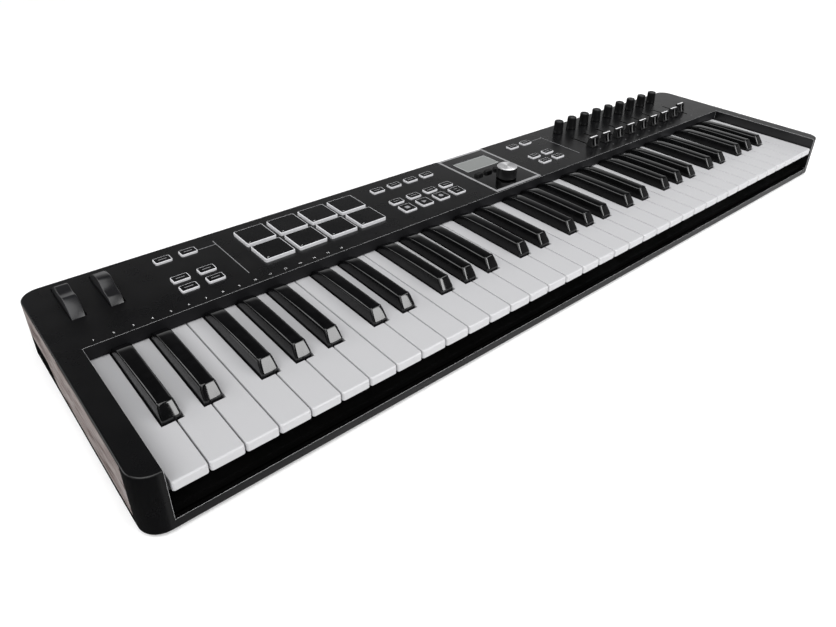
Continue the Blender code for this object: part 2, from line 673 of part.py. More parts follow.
def make_knob(name, x):
    """Tapered cap, bored for the encoder's shaft."""
    bm = bmesh.new()
    add_round(bm, x, KNOB_Y, ((KNOB_BASE_R, PANEL_TOP + 0.4), (KNOB_BASE_R, PANEL_TOP + 2.0),
                              (KNOB_TOP_R, KNOB_TOP - 1.0), (KNOB_TOP_R - 1.0, KNOB_TOP)), 12)
    knob = new_object(name, bm, rubber())
    cut_round(knob, [(x, KNOB_Y)], KNOB_BORE_R, PANEL_TOP - 2, KNOB_TOP - 3.4, 8)
    return finish(knob, 35)


def make_fader(name, x, y):
    """Cap with a finger hollow along its top, on the flat stem that passes the slot."""
    half_x, half_y = FADER_WIDE / 2, FADER_DEEP / 2
    base, low = PANEL_TOP + 0.5, FADER_TOP - 2.2
    profile = [(y - half_y, base), (y + half_y, base), (y + half_y - 1.2, low),
               (y + half_y - 1.8, FADER_TOP), (y + 1.0, FADER_TOP - 1.6),
               (y - 1.0, FADER_TOP - 1.6), (y - half_y + 1.8, FADER_TOP),
               (y - half_y + 1.2, low)]
    bm = bmesh.new()
    add_profile(bm, profile, x - half_x, x + half_x)
    cap = new_object(name, bm, black_plastic())
    join(cap, (x - STEM_WIDE / 2, x + STEM_WIDE / 2, y - 3, y + 3, PANEL_UNDER - 0.6, base + 1))
    return finish(cap)


def make_dial():
    """Push-and-turn encoder: its shaft slides, and the big cap turns on the shaft."""
    bm = bmesh.new()
    add_round(bm, ISLAND_X, DIAL_Y, ((DIAL_SHAFT_R, PANEL_BOARD_Z + 5.5),
                                     (DIAL_SHAFT_R, DIAL_TOP - 4.0)), 12)
    finish(new_object("dial_shaft", bm, steel()), 35)
    bm = bmesh.new()
    base = PANEL_TOP + 1.2
    add_round(bm, ISLAND_X, DIAL_Y, ((DIAL_R, base), (DIAL_R, DIAL_TOP - 1.2),
                                     (DIAL_R - 1.4, DIAL_TOP)), 24)
    dial = new_object("menu_dial", bm, black_plastic())
    cut_round(dial, [(ISLAND_X, DIAL_Y)], DIAL_BORE_R, base - 2, DIAL_TOP - 3.4, 12)
    finish(dial, 35)


# ---------------------------------------------------------------- display
def make_display():
    """Silver surround, the dark plate inside it, and the liquid-crystal module below."""
    base, high = ISLAND_Z + GAP, ISLAND_TOP
    bm = bmesh.new()
    add_box(bm, ISLAND_X - ISLAND_HALF, ISLAND_X + ISLAND_HALF, ISLAND_FRONT,
            CASE_REAR - EDGE, base, high)
    frame = new_object("display_surround", bm, satin_silver())
    cut(frame, (*widened((ISLAND_X - BEZEL_HALF, ISLAND_X + BEZEL_HALF, BEZEL_FRONT, BEZEL_REAR),
                         GAP), base - 1, high + 1))
    finish(frame)
    bm = bmesh.new()
    add_box(bm, ISLAND_X - BEZEL_HALF, ISLAND_X + BEZEL_HALF, BEZEL_FRONT, BEZEL_REAR, base,
            high - 0.3)
    plate = new_object("display_plate", bm, dark_plastic())
    window = (ISLAND_X - LCD_HALF, ISLAND_X + LCD_HALF, LCD_FRONT, LCD_REAR)
    holes = [window] + [widened(box) for box in MENU_BUTTONS]
    cut(plate, *[(*hole, base - 1, high + 1) for hole in holes])
    cut_round(plate, [(ISLAND_X, DIAL_Y)], DIAL_HOLE_R, base - 1, high + 1, 16)
    finish(plate)
    bm = bmesh.new()
    add_box(bm, *widened(window, LCD_FLANGE), PANEL_BOARD_Z + BOARD_THICK + GAP, base - GAP)
    module = new_object("display_module", bm, material("lcd_glass", (0.10, 0.11, 0.11), 0.15))
    join(module, (*widened(window, -0.5), base - 1, PANEL_TOP - 0.4))
    finish(module)


# ---------------------------------------------------------------- electronics
def make_panel_board():
    """Circuit board under the panel, with the encoders and fader tracks soldered on."""
    top = PANEL_BOARD_Z + BOARD_THICK
    bm = bmesh.new()
    add_box(bm, 70.0, KEYS_WIDTH - 6.0, 154.0, 232.0, PANEL_BOARD_Z, top)
    board = new_object("panel_board", bm, circuit_green())
    bm = bmesh.new()
    for n in range(CHANNELS):
        x = channel_x(n)
        add_box(bm, x - 5.6, x + 5.6, KNOB_Y - 6.0, KNOB_Y + 6.0, top - 0.8, PANEL_UNDER - 1.6)
        add_box(bm, x - 3.6, x + 3.6, FADER_SLOT[0] - 1, FADER_SLOT[1] + 3, top - 0.8,
                PANEL_UNDER - 1.4)
    combine(board, bm, "UNION")
    bm = bmesh.new()
    for n in range(CHANNELS):
        add_round(bm, channel_x(n), KNOB_Y, ((KNOB_SHAFT_R, PANEL_UNDER - 3),
                                             (KNOB_SHAFT_R, KNOB_TOP - 4.0)), 8)
    combine(board, bm, "UNION")
    bm = bmesh.new()
    add_box(bm, ISLAND_X - 6, ISLAND_X + 6, DIAL_Y - 6, DIAL_Y + 6, top - 0.8, top + 2.2)
    combine(board, bm, "UNION")
    return finish(board)


def make_main_board():
    """Main board with the rear sockets soldered on, each hollow for its plug."""
    top = SOCKET_Z
    bm = bmesh.new()
    add_box(bm, 140.0, 360.0, 185.0, CASE_REAR - SKIN - 0.6, MAIN_BOARD_Z, top)
    board = new_object("main_board", bm, circuit_green())
    rear = SOCKET_REAR
    join(board, (USB_X - 6, USB_X + 6, rear - 16, rear, top - 0.8, top + 11),
         (DIN_X - 10, DIN_X + 10, rear - 18, rear, top - 0.8, top + 20),
         (JACK_X - 8, JACK_X + 8, rear - 26, rear, top - 0.8, top + 15),
         (DC_X - 4.5, DC_X + 4.5, rear - 14, rear, top - 0.8, top + 11))
    cut(board, (USB_X - 4.3, USB_X + 4.3, rear - 9, rear + 1, top + 1.6, top + 9.4))
    join(board, (USB_X - 2.9, USB_X + 2.9, rear - 9.5, rear - 1, top + 1.0, top + 4.4))
    bore_rear(board, DIN_X, top + 10, 7.6, 8.5, 20)
    bore_rear(board, JACK_X, top + 7.5, JACK_BORE_R, 22.0, 12)
    bore_rear(board, DC_X, top + 5.5, 2.9, 9.5, 12)
    bm = bmesh.new()
    ring = circle(0, 0, 1.0, 8)
    loft(bm, [[(DC_X + dx, y, top + 5.5 + dz) for dx, dz in ring] for y in (rear - 10.5, rear - 1)])
    combine(board, bm, "UNION")
    return finish(board)


def bore_rear(obj, x, z, radius, depth, count):
    """A blind round hole into the rear face."""
    bm = bmesh.new()
    rings = []
    for y in (SOCKET_REAR + 1, SOCKET_REAR - depth):
        rings.append([(x + dx, y, z + dz) for dx, dz in circle(0, 0, radius, count)])
    loft(bm, rings)
    combine(obj, bm, "DIFFERENCE")


# ---------------------------------------------------------------- build
def clear_scene():
    for obj in list(bpy.data.objects):
        bpy.data.objects.remove(obj)


def main():
    clear_scene()
    make_bottom_case()
    make_top_case()
    make_cheek("left_cheek", CASE_LEFT)
    make_cheek("right_cheek", CASE_RIGHT - CHEEK_THICK)
    make_feet()
    make_keybed()
    make_keys()
    make_wheel("pitch_wheel", WHEEL_X[0], 0.0, 88.0, 88.0)
    make_wheel("modulation_wheel", WHEEL_X[1], 22.0, 100.0, 80.0)
    make_keypads()
    for n in range(CHANNELS):
        make_knob(f"knob_{n + 1}", channel_x(n))
        make_fader(f"fader_cap_{n + 1}", channel_x(n), FADER_Y0 + FADER_REST[n])
    make_dial()
    make_display()
    make_panel_board()
    make_main_board()


main()
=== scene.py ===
"""Looks of the sixty-one key controller keyboard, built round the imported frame.

Lengths are in millimetres until they are written into a mesh.  Plan positions are
measured from the lowest key, x from its left edge and y from its front, and heights
from the surface the feet stand on.  Where those lie comes from the frame.
"""
import math

import bmesh
import bpy
from mathutils import Matrix, Vector


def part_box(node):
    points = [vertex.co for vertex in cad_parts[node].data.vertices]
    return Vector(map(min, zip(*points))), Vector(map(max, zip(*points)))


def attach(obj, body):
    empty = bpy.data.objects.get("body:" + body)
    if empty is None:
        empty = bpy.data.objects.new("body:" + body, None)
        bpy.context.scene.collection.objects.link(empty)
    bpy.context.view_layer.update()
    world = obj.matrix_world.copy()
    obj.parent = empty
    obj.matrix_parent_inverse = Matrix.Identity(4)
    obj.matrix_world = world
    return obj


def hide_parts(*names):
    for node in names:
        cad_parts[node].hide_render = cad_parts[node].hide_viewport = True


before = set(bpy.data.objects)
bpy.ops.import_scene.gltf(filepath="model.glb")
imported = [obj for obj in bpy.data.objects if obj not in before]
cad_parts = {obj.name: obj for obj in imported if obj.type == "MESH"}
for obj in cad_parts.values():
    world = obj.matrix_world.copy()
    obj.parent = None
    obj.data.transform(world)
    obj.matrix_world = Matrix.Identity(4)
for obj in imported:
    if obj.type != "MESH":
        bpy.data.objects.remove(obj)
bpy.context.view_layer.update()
MM = 0.001

# ---------------------------------------------------------------- sizes from the frame
KEY_GAP = 0.45                  # from a key's side to the line it shares with the next
FIRST_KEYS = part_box("octave_1_naturals_c_e_g_b")
ORIGIN = Vector((FIRST_KEYS[0].x - KEY_GAP * MM, FIRST_KEYS[0].y, 0.0))


def plan(node):
    """A node's lowest and highest corner in plan millimetres."""
    low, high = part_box(node)
    return (low - ORIGIN) / MM, (high - ORIGIN) / MM


def middle(corners, axis):
    """Halfway between two corners along X (0) or Y (1)."""
    return (corners[0][axis] + corners[1][axis]) / 2


CASE_LOW, CASE_HIGH = plan("top_case")
CASE_LEFT, CASE_FRONT = CASE_LOW.x, CASE_LOW.y
CASE_RIGHT, CASE_REAR, PANEL_TOP = CASE_HIGH
OCTAVE = plan("octave_2_sharps")[0].x - plan("octave_1_sharps")[0].x
NATURAL_PITCH = OCTAVE / 7
OCTAVES = 5
KEYS_WIDTH = NATURAL_PITCH * (7 * OCTAVES + 1)
KEY_TOP = plan("top_natural_c")[1].z
KEY_REAR = 146.0                # the keys run back to here, their rail lies behind
SKIN = 2.5                      # wall of the mouldings
GAP = 0.3                       # between parts that lie against each other
KEY_SIDE_GAP = 1.8              # between the end keys and the end blocks
PANEL_FRONT = 139.8             # the wall that stands over the keys
PANEL_UNDER = PANEL_TOP - SKIN
LIP_TOP, LIP_DEPTH = 10.3, 3.4  # rail under the key fronts
CORNER, EDGE = 15.0, 1.2        # the case's plan corners and its rolled top edge
BELOW, ABOVE = -5.0, 70.0       # where cuts right through the case start and end
SKIRT_LOW = 5.7                 # inside the outer walls nothing hangs below this height
KEY_CLEAR = 0.8                 # between the keys and the wall over them

KEY_LIP, KEY_HOLLOW = 31.5, 32.0    # a natural's front is open below this height, to this y
NATURAL_BOTTOM = plan("top_natural_c")[0].z
SHARP_BOTTOM = 28.0
SHARP_TOP = plan("octave_1_sharps")[1].z
SHARP_FRONT = plan("octave_1_sharps")[0].y
SHARP_WIDTH = 13.7
RAIL_FRONT, RAIL_REAR, RAIL_THICK = 152.0, 164.0, 2.6
RAIL_LOW, RAIL_MID, RAIL_HIGH = 26.0, 29.6, 33.2

PITCH_WHEEL, MOD_WHEEL = plan("pitch_wheel"), plan("modulation_wheel")
WHEEL_X = [middle(wheel, 0) for wheel in (PITCH_WHEEL, MOD_WHEEL)]
WHEEL_Y = middle(PITCH_WHEEL, 1)
WHEEL_R, WHEEL_Z, WHEEL_HALF = 31.0, 31.6, 5.0
SLOT_HALF_X, SLOT_HALF_Y = 5.7, 26.4

PAD_X0 = plan("drum_pad_mat")[0].x + 3.0
PAD_Y0 = plan("drum_pad_mat")[0].y + 3.0
PAD_PITCH, PAD_SIZE, PAD_TOP = 32.8, 28.2, plan("drum_pad_mat")[1].z
PAD_WEB, BUTTON_WEB = 2.0, 1.4  # thickness of the mats they stand on
BUTTON_LONG, BUTTON_DEEP, SQUARE_DEEP = 14.3, 9.2, 14.4
BUTTON_ROOM = 0.4               # round every pad and button in its opening
BUTTON_TOP = plan("left_keypad")[1].z
CHANNELS = 9
CHANNEL_X = [middle(plan(f"knob_{n + 1}"), 0) for n in range(CHANNELS)]
KNOB_Y = middle(plan("knob_1"), 1)
KNOB_TOP = plan("knob_1")[1].z
KNOB_BASE_R, KNOB_TOP_R = 6.3, 5.8
FADER_Y = [middle(plan(f"fader_cap_{n + 1}"), 1) for n in range(CHANNELS)]
FADER_TOP = plan("fader_cap_1")[1].z
FADER_WIDE = plan("fader_cap_1")[1].x - plan("fader_cap_1")[0].x
FADER_DEEP = plan("fader_cap_1")[1].y - plan("fader_cap_1")[0].y
FADER_SLOT, FADER_SLOT_WIDE = (157.0, 198.0), 2.4

SURROUND = plan("display_surround")
ISLAND_X = middle(SURROUND, 0)
ISLAND_HALF = (SURROUND[1].x - SURROUND[0].x) / 2
ISLAND_FRONT, ISLAND_Z, ISLAND_TOP = SURROUND[0].y, SURROUND[0].z - GAP, SURROUND[1].z
PLATE = plan("display_plate")
BEZEL_HALF = (PLATE[1].x - PLATE[0].x) / 2
BEZEL_FRONT, BEZEL_REAR = PLATE[0].y, PLATE[1].y
LCD_FLANGE = 3.0                # the module is wider than its window by this much
MODULE = plan("display_module")
LCD_HALF = (MODULE[1].x - MODULE[0].x) / 2 - LCD_FLANGE
LCD_FRONT, LCD_REAR = MODULE[0].y + LCD_FLANGE, MODULE[1].y - LCD_FLANGE
MENU = plan("menu_keypad")
MENU_BUTTON_Y, MENU_BUTTON_PITCH = middle(MENU, 1), 14.0
MENU_BUTTON_LONG, MENU_BUTTON_DEEP = 10.0, 6.0
DIAL = plan("menu_dial")
DIAL_X, DIAL_Y = middle(DIAL, 0), middle(DIAL, 1)
DIAL_BASE, DIAL_TOP, DIAL_R = DIAL[0].z, DIAL[1].z, 11.3
KNOB_HOLE_R, DIAL_HOLE_R = 3.6, 5.0

BOARD = plan("main_board")
SOCKET_REAR = BOARD[1].y
SOCKET_Z = BOARD[0].z + 1.6
# x, half width and height of each socket on the board
SOCKETS = {"usb": (250.0, 6.0, 11.0), "midi": (205.0, 10.0, 20.0), "pedal": (165.0, 8.0, 15.0),
           "power": (285.0, 4.5, 11.0)}
LOCK_X = 325.0
CHEEK = plan("left_cheek")
CHEEK_THICK = CHEEK[1].x - CHEEK[0].x
WOOD_TOP = 49.5                 # the laminate meets the rounding of the top edge
CHEEK_FRONT, CHEEK_REAR, CHEEK_LOW = CHEEK[0].y, CHEEK[1].y, CHEEK[0].z
CHEEK_LOW_REAR = 21.3
CHEEK_STEP = (162.0, 187.0)     # where its lower edge rises towards the rear


# ---------------------------------------------------------------- mesh helpers
def place(x, y, z):
    """A point in plan millimetres, in metres in the frame."""
    return (ORIGIN.x + x * MM, ORIGIN.y + y * MM, z * MM)


def loft(bm, rings, ends=(True, True)):
    """Skin a row of rings with the same number of points, open or closed at its ends."""
    layers = [[bm.verts.new(place(*p)) for p in ring] for ring in rings]
    count = len(layers[0])
    for low, high in zip(layers, layers[1:]):
        for i in range(count):
            j = (i + 1) % count
            bm.faces.new((low[i], low[j], high[j], high[i]))
    if ends[0]:
        bm.faces.new(layers[0][::-1])
    if ends[1]:
        bm.faces.new(layers[-1])


def add_box(bm, x0, x1, y0, y1, z0, z1):
    corners = ((x0, y0), (x1, y0), (x1, y1), (x0, y1))
    loft(bm, [[(x, y, z) for x, y in corners] for z in (z0, z1)])


def add_prism(bm, outline, z0, z1):
    loft(bm, [[(x, y, z) for x, y in outline] for z in (z0, z1)])


def add_profile(bm, profile, x0, x1):
    """Extrude a side profile of (y, z) points along X."""
    loft(bm, [[(x, y, z) for y, z in profile] for x in (x0, x1)])


def quarter(steps, start=0):
    """Angles of a quarter turn, from a start in degrees."""
    return [math.radians(start + 90 * i / steps) for i in range(steps + 1)]


def quarter_circle(x, y, radius, start, steps):
    return [(x + radius * math.cos(a), y + radius * math.sin(a)) for a in quarter(steps, start)]


def circle(x, y, radius, count):
    steps = [2 * math.pi * (i + 0.5) / count for i in range(count)]
    return [(x + radius * math.cos(a), y + radius * math.sin(a)) for a in steps]


def add_round(bm, x, y, stack, count):
    """A turned piece on a vertical axis, from (radius, z) pairs, lowest first."""
    loft(bm, [[(px, py, z) for px, py in circle(x, y, r, count)] for r, z in stack])


def add_gripped(bm, x, y, stack, hollows):
    """A turned piece with hollows round its side; stack has (radius, z, share of them)."""
    turns = [2 * math.pi * i / len(hollows) for i in range(len(hollows))]
    rings = []
    for radius, z, share in stack:
        reach = [(a, radius - share * hollow) for a, hollow in zip(turns, hollows)]
        rings.append([(x + r * math.cos(a), y + r * math.sin(a), z) for a, r in reach])
    loft(bm, rings)


def add_turned_back(bm, x, z, stack, count, ends=(True, True)):
    """A turned piece on an axis along Y, from (radius, y) pairs."""
    loft(bm, [[(x + dx, y, z + dz) for dx, dz in circle(0, 0, r, count)] for r, y in stack], ends)


def rounded_outline(x0, x1, y0, y1, radius, steps=5):
    """A rectangle with quarter-circle corners, counter-clockwise."""
    left, right, front, rear = x0 + radius, x1 - radius, y0 + radius, y1 - radius
    points = []
    for x, y, start in ((right, front, -90), (right, rear, 0), (left, rear, 90), (left, front, 180)):
        points += quarter_circle(x, y, radius, start, steps)
    return points


def add_pillow(bm, x0, x1, y0, y1, z0, z1, corner, round_over, steps=4, corner_steps=None):
    """A rounded block whose top edge is rolled over."""
    corner_steps = corner_steps or steps
    rings = [[(x, y, z0) for x, y in rounded_outline(x0, x1, y0, y1, corner, corner_steps)]]
    for a in quarter(steps):
        inset = round_over * (1 - math.cos(a))
        z = z1 - round_over * (1 - math.sin(a))
        ring = rounded_outline(x0 + inset, x1 - inset, y0 + inset, y1 - inset,
                               max(corner - inset, 0.15), corner_steps)
        rings.append([(x, y, z) for x, y in ring])
    loft(bm, rings)


def gather(add, *shapes):
    """Loose geometry from several shapes of one kind."""
    bm = bmesh.new()
    for shape in shapes:
        add(bm, *shape)
    return bm


def add_object(name, data):
    obj = bpy.data.objects.new(name, data)
    bpy.context.scene.collection.objects.link(obj)
    return obj


def new_piece(name, bm, look):
    bmesh.ops.recalc_face_normals(bm, faces=bm.faces)
    mesh = bpy.data.meshes.new(name)
    bm.to_mesh(mesh)
    bm.free()
    mesh.materials.append(look)
    return add_object(name, mesh)


def build(name, look, add, *shapes):
    """A new piece from several shapes of one kind."""
    return new_piece(name, gather(add, *shapes), look)


def combine(obj, tool_bm, operation):
    """Apply one Boolean with a throw-away tool."""
    tool = new_piece("tool", tool_bm, obj.data.materials[0])
    modifier = obj.modifiers.new("cut", "BOOLEAN")
    modifier.operation = operation
    modifier.solver = "EXACT"
    modifier.object = tool
    apply_modifiers(obj)
    bpy.data.objects.remove(tool)


def evaluated_mesh(obj):
    graph = bpy.context.evaluated_depsgraph_get()
    return bpy.data.meshes.new_from_object(obj.evaluated_get(graph))


def apply_modifiers(obj):
    result = evaluated_mesh(obj)
    obj.modifiers.clear()
    old = obj.data
    obj.data = result
    bpy.data.meshes.remove(old)


def cut(obj, *boxes):
    combine(obj, gather(add_box, *boxes), "DIFFERENCE")


def soften(obj, width, segments=2, angle=35, slot=-1, clamp=True):
    """Roll the sharp edges over, and keep the flat faces flat under smooth shading."""
    bm = bmesh.new()
    bm.from_mesh(obj.data)
    bmesh.ops.dissolve_limit(bm, angle_limit=math.radians(0.3), verts=bm.verts, edges=bm.edges)
    bm.to_mesh(obj.data)
    bm.free()
    modifier = obj.modifiers.new("edges", "BEVEL")
    modifier.width = width * MM
    modifier.segments = segments
    modifier.limit_method = "ANGLE"
    modifier.angle_limit = math.radians(angle)
    modifier.material = slot
    modifier.use_clamp_overlap = clamp
    apply_modifiers(obj)
    return flatten(obj)


def flatten(obj, angle=60):
    """Smooth shading whose normals follow the larger faces."""
    shade(obj, angle)
    modifier = obj.modifiers.new("normals", "WEIGHTED_NORMAL")
    modifier.keep_sharp = True
    modifier.weight = 100
    apply_modifiers(obj)
    return obj


def shade(obj, angle=35):
    obj.data.shade_smooth()
    obj.data.set_sharp_from_angle(angle=math.radians(angle))
    return obj


def fit(obj, body, slot, *nodes):
    """Every piece rides on a body and may stand for CAD nodes; slot is not used."""
    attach(obj, body)
    if nodes:
        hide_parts(*nodes)
    return obj


# ---------------------------------------------------------------- materials
def set_inputs(node, values):
    """Fill a node's inputs, an underscore in a name standing for a space."""
    for name, value in values.items():
        node.inputs[name.replace("_", " ")].default_value = value


def colour_ramp(tree, value, stops):
    """A colour that runs through (position, colour) stops."""
    node = tree.nodes.new("ShaderNodeValToRGB")
    elements = node.color_ramp.elements
    for element, (position, colour) in zip(elements, (stops[0], stops[-1])):
        element.position = position
        element.color = (*colour, 1.0)
    for position, colour in stops[1:-1]:
        elements.new(position).color = (*colour, 1.0)
    tree.links.new(value, node.inputs["Fac"])
    return node.outputs["Color"]


def map_range(tree, value, from_low, from_high, to_low, to_high):
    node = tree.nodes.new("ShaderNodeMapRange")
    tree.links.new(value, node.inputs["Value"])
    set_inputs(node, {"From Min": from_low, "From Max": from_high, "To Min": to_low,
                      "To Max": to_high})
    return node.outputs["Result"]


def grey(level, blue=None):
    """A neutral tone, or one with its own amount of blue."""
    return (level, level, level if blue is None else blue)


class Look:
    """A procedural material round one Principled BSDF."""

    def __init__(self, name, colour, roughness, metallic=0.0):
        self.material = bpy.data.materials.new(name)
        self.material.use_nodes = True
        self.tree = self.material.node_tree
        self.shader = self.tree.nodes["Principled BSDF"]
        self.set(Base_Color=(*colour, 1.0), Roughness=roughness, Metallic=metallic)
        self.coords = self.tree.nodes.new("ShaderNodeTexCoord").outputs["Object"]

    def node(self, kind, **inputs):
        """A new node with some of its inputs set."""
        node = self.tree.nodes.new("ShaderNode" + kind)
        set_inputs(node, inputs)
        return node

    def link(self, output, node, name):
        self.tree.links.new(output, node.inputs[name])

    def set(self, **values):
        set_inputs(self.shader, values)
        return self

    def mapped(self, **inputs):
        """The object's own coordinates, scaled or moved."""
        node = self.node("Mapping", **inputs)
        self.link(self.coords, node, "Vector")
        return node.outputs["Vector"]

    def noise(self, size_mm, detail=2.0, stretch=(1, 1, 1), distortion=0.0):
        """Noise whose features are about size_mm across, longer where stretch is above 1."""
        node = self.node("TexNoise", Scale=1.0, Detail=detail, Distortion=distortion)
        scale = tuple(1.0 / (size_mm * MM * s) for s in stretch)
        self.link(self.mapped(Scale=scale), node, "Vector")
        return node.outputs["Fac"]

    def colour(self, value, *stops):
        self.link(colour_ramp(self.tree, value, stops), self.shader, "Base Color")
        return self

    def roughness(self, value, low, high):
        """Noise keeps mostly between 0.3 and 0.7, which is mapped onto the whole range."""
        self.link(map_range(self.tree, value, 0.3, 0.7, low, high), self.shader, "Roughness")
        return self

    def bump(self, value, height_mm):
        """Relief on top of what is there already."""
        node = self.node("Bump", Distance=height_mm * MM)
        self.link(value, node, "Height")
        normal = self.shader.inputs["Normal"]
        if normal.is_linked:
            self.link(normal.links[0].from_socket, node, "Normal")
        self.link(node.outputs["Normal"], self.shader, "Normal")
        return self


def surface(name, patch, dark, light, gloss, relief=None, metallic=0.0, ends=(0.3, 0.7), **more):
    """A material whose tone and gloss drift a little and whose relief is finer.

    A noise is its size in millimetres, its detail and its stretch.  patch is the one behind
    the tone, gloss one roughness or a noise with its least and most roughness, and relief a
    noise with its height in millimetres.
    """
    look = Look(name, light, 0.5, metallic).set(**more)
    look.colour(look.noise(*patch), (ends[0], dark), (ends[1], light))
    if isinstance(gloss, float):
        look.set(Roughness=gloss)
    else:
        look.roughness(look.noise(*gloss[0]), *gloss[1:])
    if relief:
        look.bump(look.noise(*relief[0]), relief[1])
    return look.material


def moulded(name, dark, light, rough, grain_mm=0.5, grain=0.015, specular=0.5):
    """Moulded plastic: fine spark-eroded grain, faint unevenness of tone and gloss."""
    return surface(name, (60, 3), dark, light, ((25, 4), *rough), ((grain_mm, 2), grain),
                   ends=(0.35, 0.65), Specular_IOR_Level=specular)


def metal(name, colour, rough):
    """Bare metal with slightly uneven gloss."""
    look = Look(name, colour, rough[0], 1.0)
    look.roughness(look.noise(6, 4), *rough)
    look.bump(look.noise(0.6, 3), 0.01)
    return look.material


def cheek_wood():
    """Grey-brown laminate, its grain running front to back, with reddish streaks."""
    look = Look("cheek_wood", (0.28, 0.24, 0.23), 0.5).set(Specular_IOR_Level=0.3)
    streaks = look.noise(3.0, 6, (1, 16, 1), 1.4)
    look.colour(streaks, (0.34, (0.070, 0.046, 0.042)), (0.43, (0.180, 0.132, 0.122)),
                (0.50, (0.275, 0.236, 0.226)), (0.57, (0.365, 0.334, 0.322)),
                (0.68, (0.190, 0.140, 0.128)))
    look.roughness(streaks, 0.44, 0.60)
    look.bump(look.noise(0.5, 2, (1, 40, 1)), 0.05)
    look.bump(streaks, 0.08)
    return look.material


def lcd_cell():
    """Unlit liquid-crystal cell: flat grey with a fine matrix of dots."""
    look = Look("lcd_cell", (0.24, 0.25, 0.25), 0.25)
    look.set(Coat_Weight=0.6, Coat_Roughness=0.05)
    dots = look.node("TexBrick", Color1=(0.235, 0.245, 0.240, 1), Color2=(0.245, 0.255, 0.250, 1),
                     Mortar=(0.270, 0.280, 0.275, 1), Scale=1.0, Mortar_Size=0.06,
                     Brick_Width=1.0, Row_Height=1.0)
    dots.offset = 0.0
    dot_pitch = 0.42 * MM
    look.link(look.mapped(Scale=(1 / dot_pitch,) * 3), dots, "Vector")
    look.link(dots.outputs["Color"], look.shader, "Base Color")
    return look.material


def spun_silver_painted_reflection():
    """Turned metal: fine rings round the dial's axis, with a painted reflection of the fans of light
    they catch.
    """
    look = Look("spun_silver_painted_reflection", grey(0.60, 0.61), 0.3, 0.45)
    centred = look.mapped(Location=tuple(-c for c in place(DIAL_X, DIAL_Y, 0)))
    rings = look.node("TexWave", Scale=900.0, Distortion=0.6)
    rings.wave_type = "RINGS"
    rings.rings_direction = "Z"
    painted_reflection_fan = look.node("TexGradient")
    painted_reflection_fan.gradient_type = "RADIAL"
    for node in (rings, painted_reflection_fan):
        look.link(centred, node, "Vector")
    # painted reflection: bright and dark sectors round the axis, fixed in the colour
    turns = ((0.0, 0.50), (0.10, 0.42), (0.19, 0.92), (0.30, 0.50), (0.55, 0.38), (0.69, 0.95),
             (0.80, 0.46), (1.0, 0.50))
    look.colour(painted_reflection_fan.outputs["Fac"], *[(turn, grey(tone, tone + 0.01)) for turn, tone in turns])
    look.bump(rings.outputs["Fac"], 0.004)
    look.roughness(look.noise(3, 4), 0.26, 0.36)
    return look.material


BLACK = moulded("panel_black", grey(0.0026, 0.0030), grey(0.0044, 0.0048), (0.26, 0.32),
                0.45, 0.0022, 0.42)
# near black, almost without gloss: painted shade on the lip top and where the bottom case shows under
# the keys, plain black on the socket mouldings and the USB tongue
BLACK_AND_PAINTED_SHADE = moulded("black_and_painted_shade", grey(0.0010), grey(0.0018), (0.5, 0.6), 0.5, 0.010, 0.02)
# painted light: a lighter, duller copy of the panel black for the wall over the keys
WALL_PAINTED_LIGHT = moulded("wall_painted_light", grey(0.008, 0.009), grey(0.012, 0.013), (0.5, 0.6), 0.5, 0.010, 0.12)
# painted highlight: light grey on the case bevels, kept where they frame the keys
PAINTED_EDGE_HIGHLIGHT = moulded("painted_edge_highlight", grey(0.50, 0.51), grey(0.54, 0.55), (0.25, 0.32), 0.45, 0.001)
FACE = moulded("pad_face", grey(0.0025, 0.003), grey(0.0045, 0.005), (0.22, 0.28), 0.6, 0.006, 0.35)
GREY = moulded("wheel_grey", grey(0.010, 0.011), grey(0.016, 0.018), (0.26, 0.34), 0.35, 0.012)
RIB = moulded("cap_rib", grey(0.10), grey(0.13), (0.4, 0.5), 0.45, 0.004)
LCD_BORDER = moulded("lcd_border", (0.34, 0.35, 0.35), (0.37, 0.38, 0.38), (0.28, 0.34), 1.0, 0.002)
# black-coated steel, made darker still as painted shade where the keybed frame shows under the keys
BLACK_STEEL_AND_PAINTED_SHADE = moulded("black_steel_and_painted_shade", grey(0.0015), grey(0.0030), (0.45, 0.6), 0.8, 0.03, 0.04)
DARK_MASK = moulded("solder_mask_black", grey(0.003), grey(0.006), (0.4, 0.55), 3.0, 0.02, 0.3)
WHITE = surface("natural_white", (25, 2), grey(0.506, 0.518), grey(0.508, 0.520),
                ((20, 2, (1, 3, 1)), 0.30, 0.32), ((2.5, 2), 0.0012))
EBONY = surface("sharp_black", (8, 2), grey(0.002, 0.0022), grey(0.004, 0.0045),
                ((6, 2, (1, 3, 1)), 0.05, 0.08), ((0.6, 2), 0.0008), Specular_IOR_Level=0.55)
# the sides of a sharp come from the mould with a duller finish than its top
FLANK = surface("sharp_flank", (8, 3), grey(0.002), grey(0.004, 0.0045), ((6, 3), 0.18, 0.26),
                ((0.5, 2), 0.003), Specular_IOR_Level=0.16)
WOOD = cheek_wood()
RUBBER = surface("soft_rubber", (12, 3), grey(0.0026, 0.0028), grey(0.0046, 0.005),
                 ((5, 4), 0.30, 0.40), ((0.3, 2), 0.010), Specular_IOR_Level=0.26)
SILICONE = surface("clear_silicone", (8, 3), grey(0.64, 0.66), grey(0.70, 0.72),
                   ((4, 4), 0.40, 0.55), ((0.4, 2), 0.010), Specular_IOR_Level=0.45,
                   Subsurface_Weight=0.25, Subsurface_Radius=(0.003, 0.003, 0.003))
PRINT = surface("print_white", (1.5, 3), grey(0.82, 0.83), grey(0.92, 0.93), 0.6)
FAINT_PRINT = surface("print_grey", (1.5, 3), grey(0.22, 0.23), grey(0.30, 0.31), 0.6)
SILVER = surface("satin_silver", (5, 3), grey(0.40, 0.41), grey(0.44, 0.45), ((4, 3), 0.30, 0.40),
                 ((0.25, 2), 0.004), 0.35)
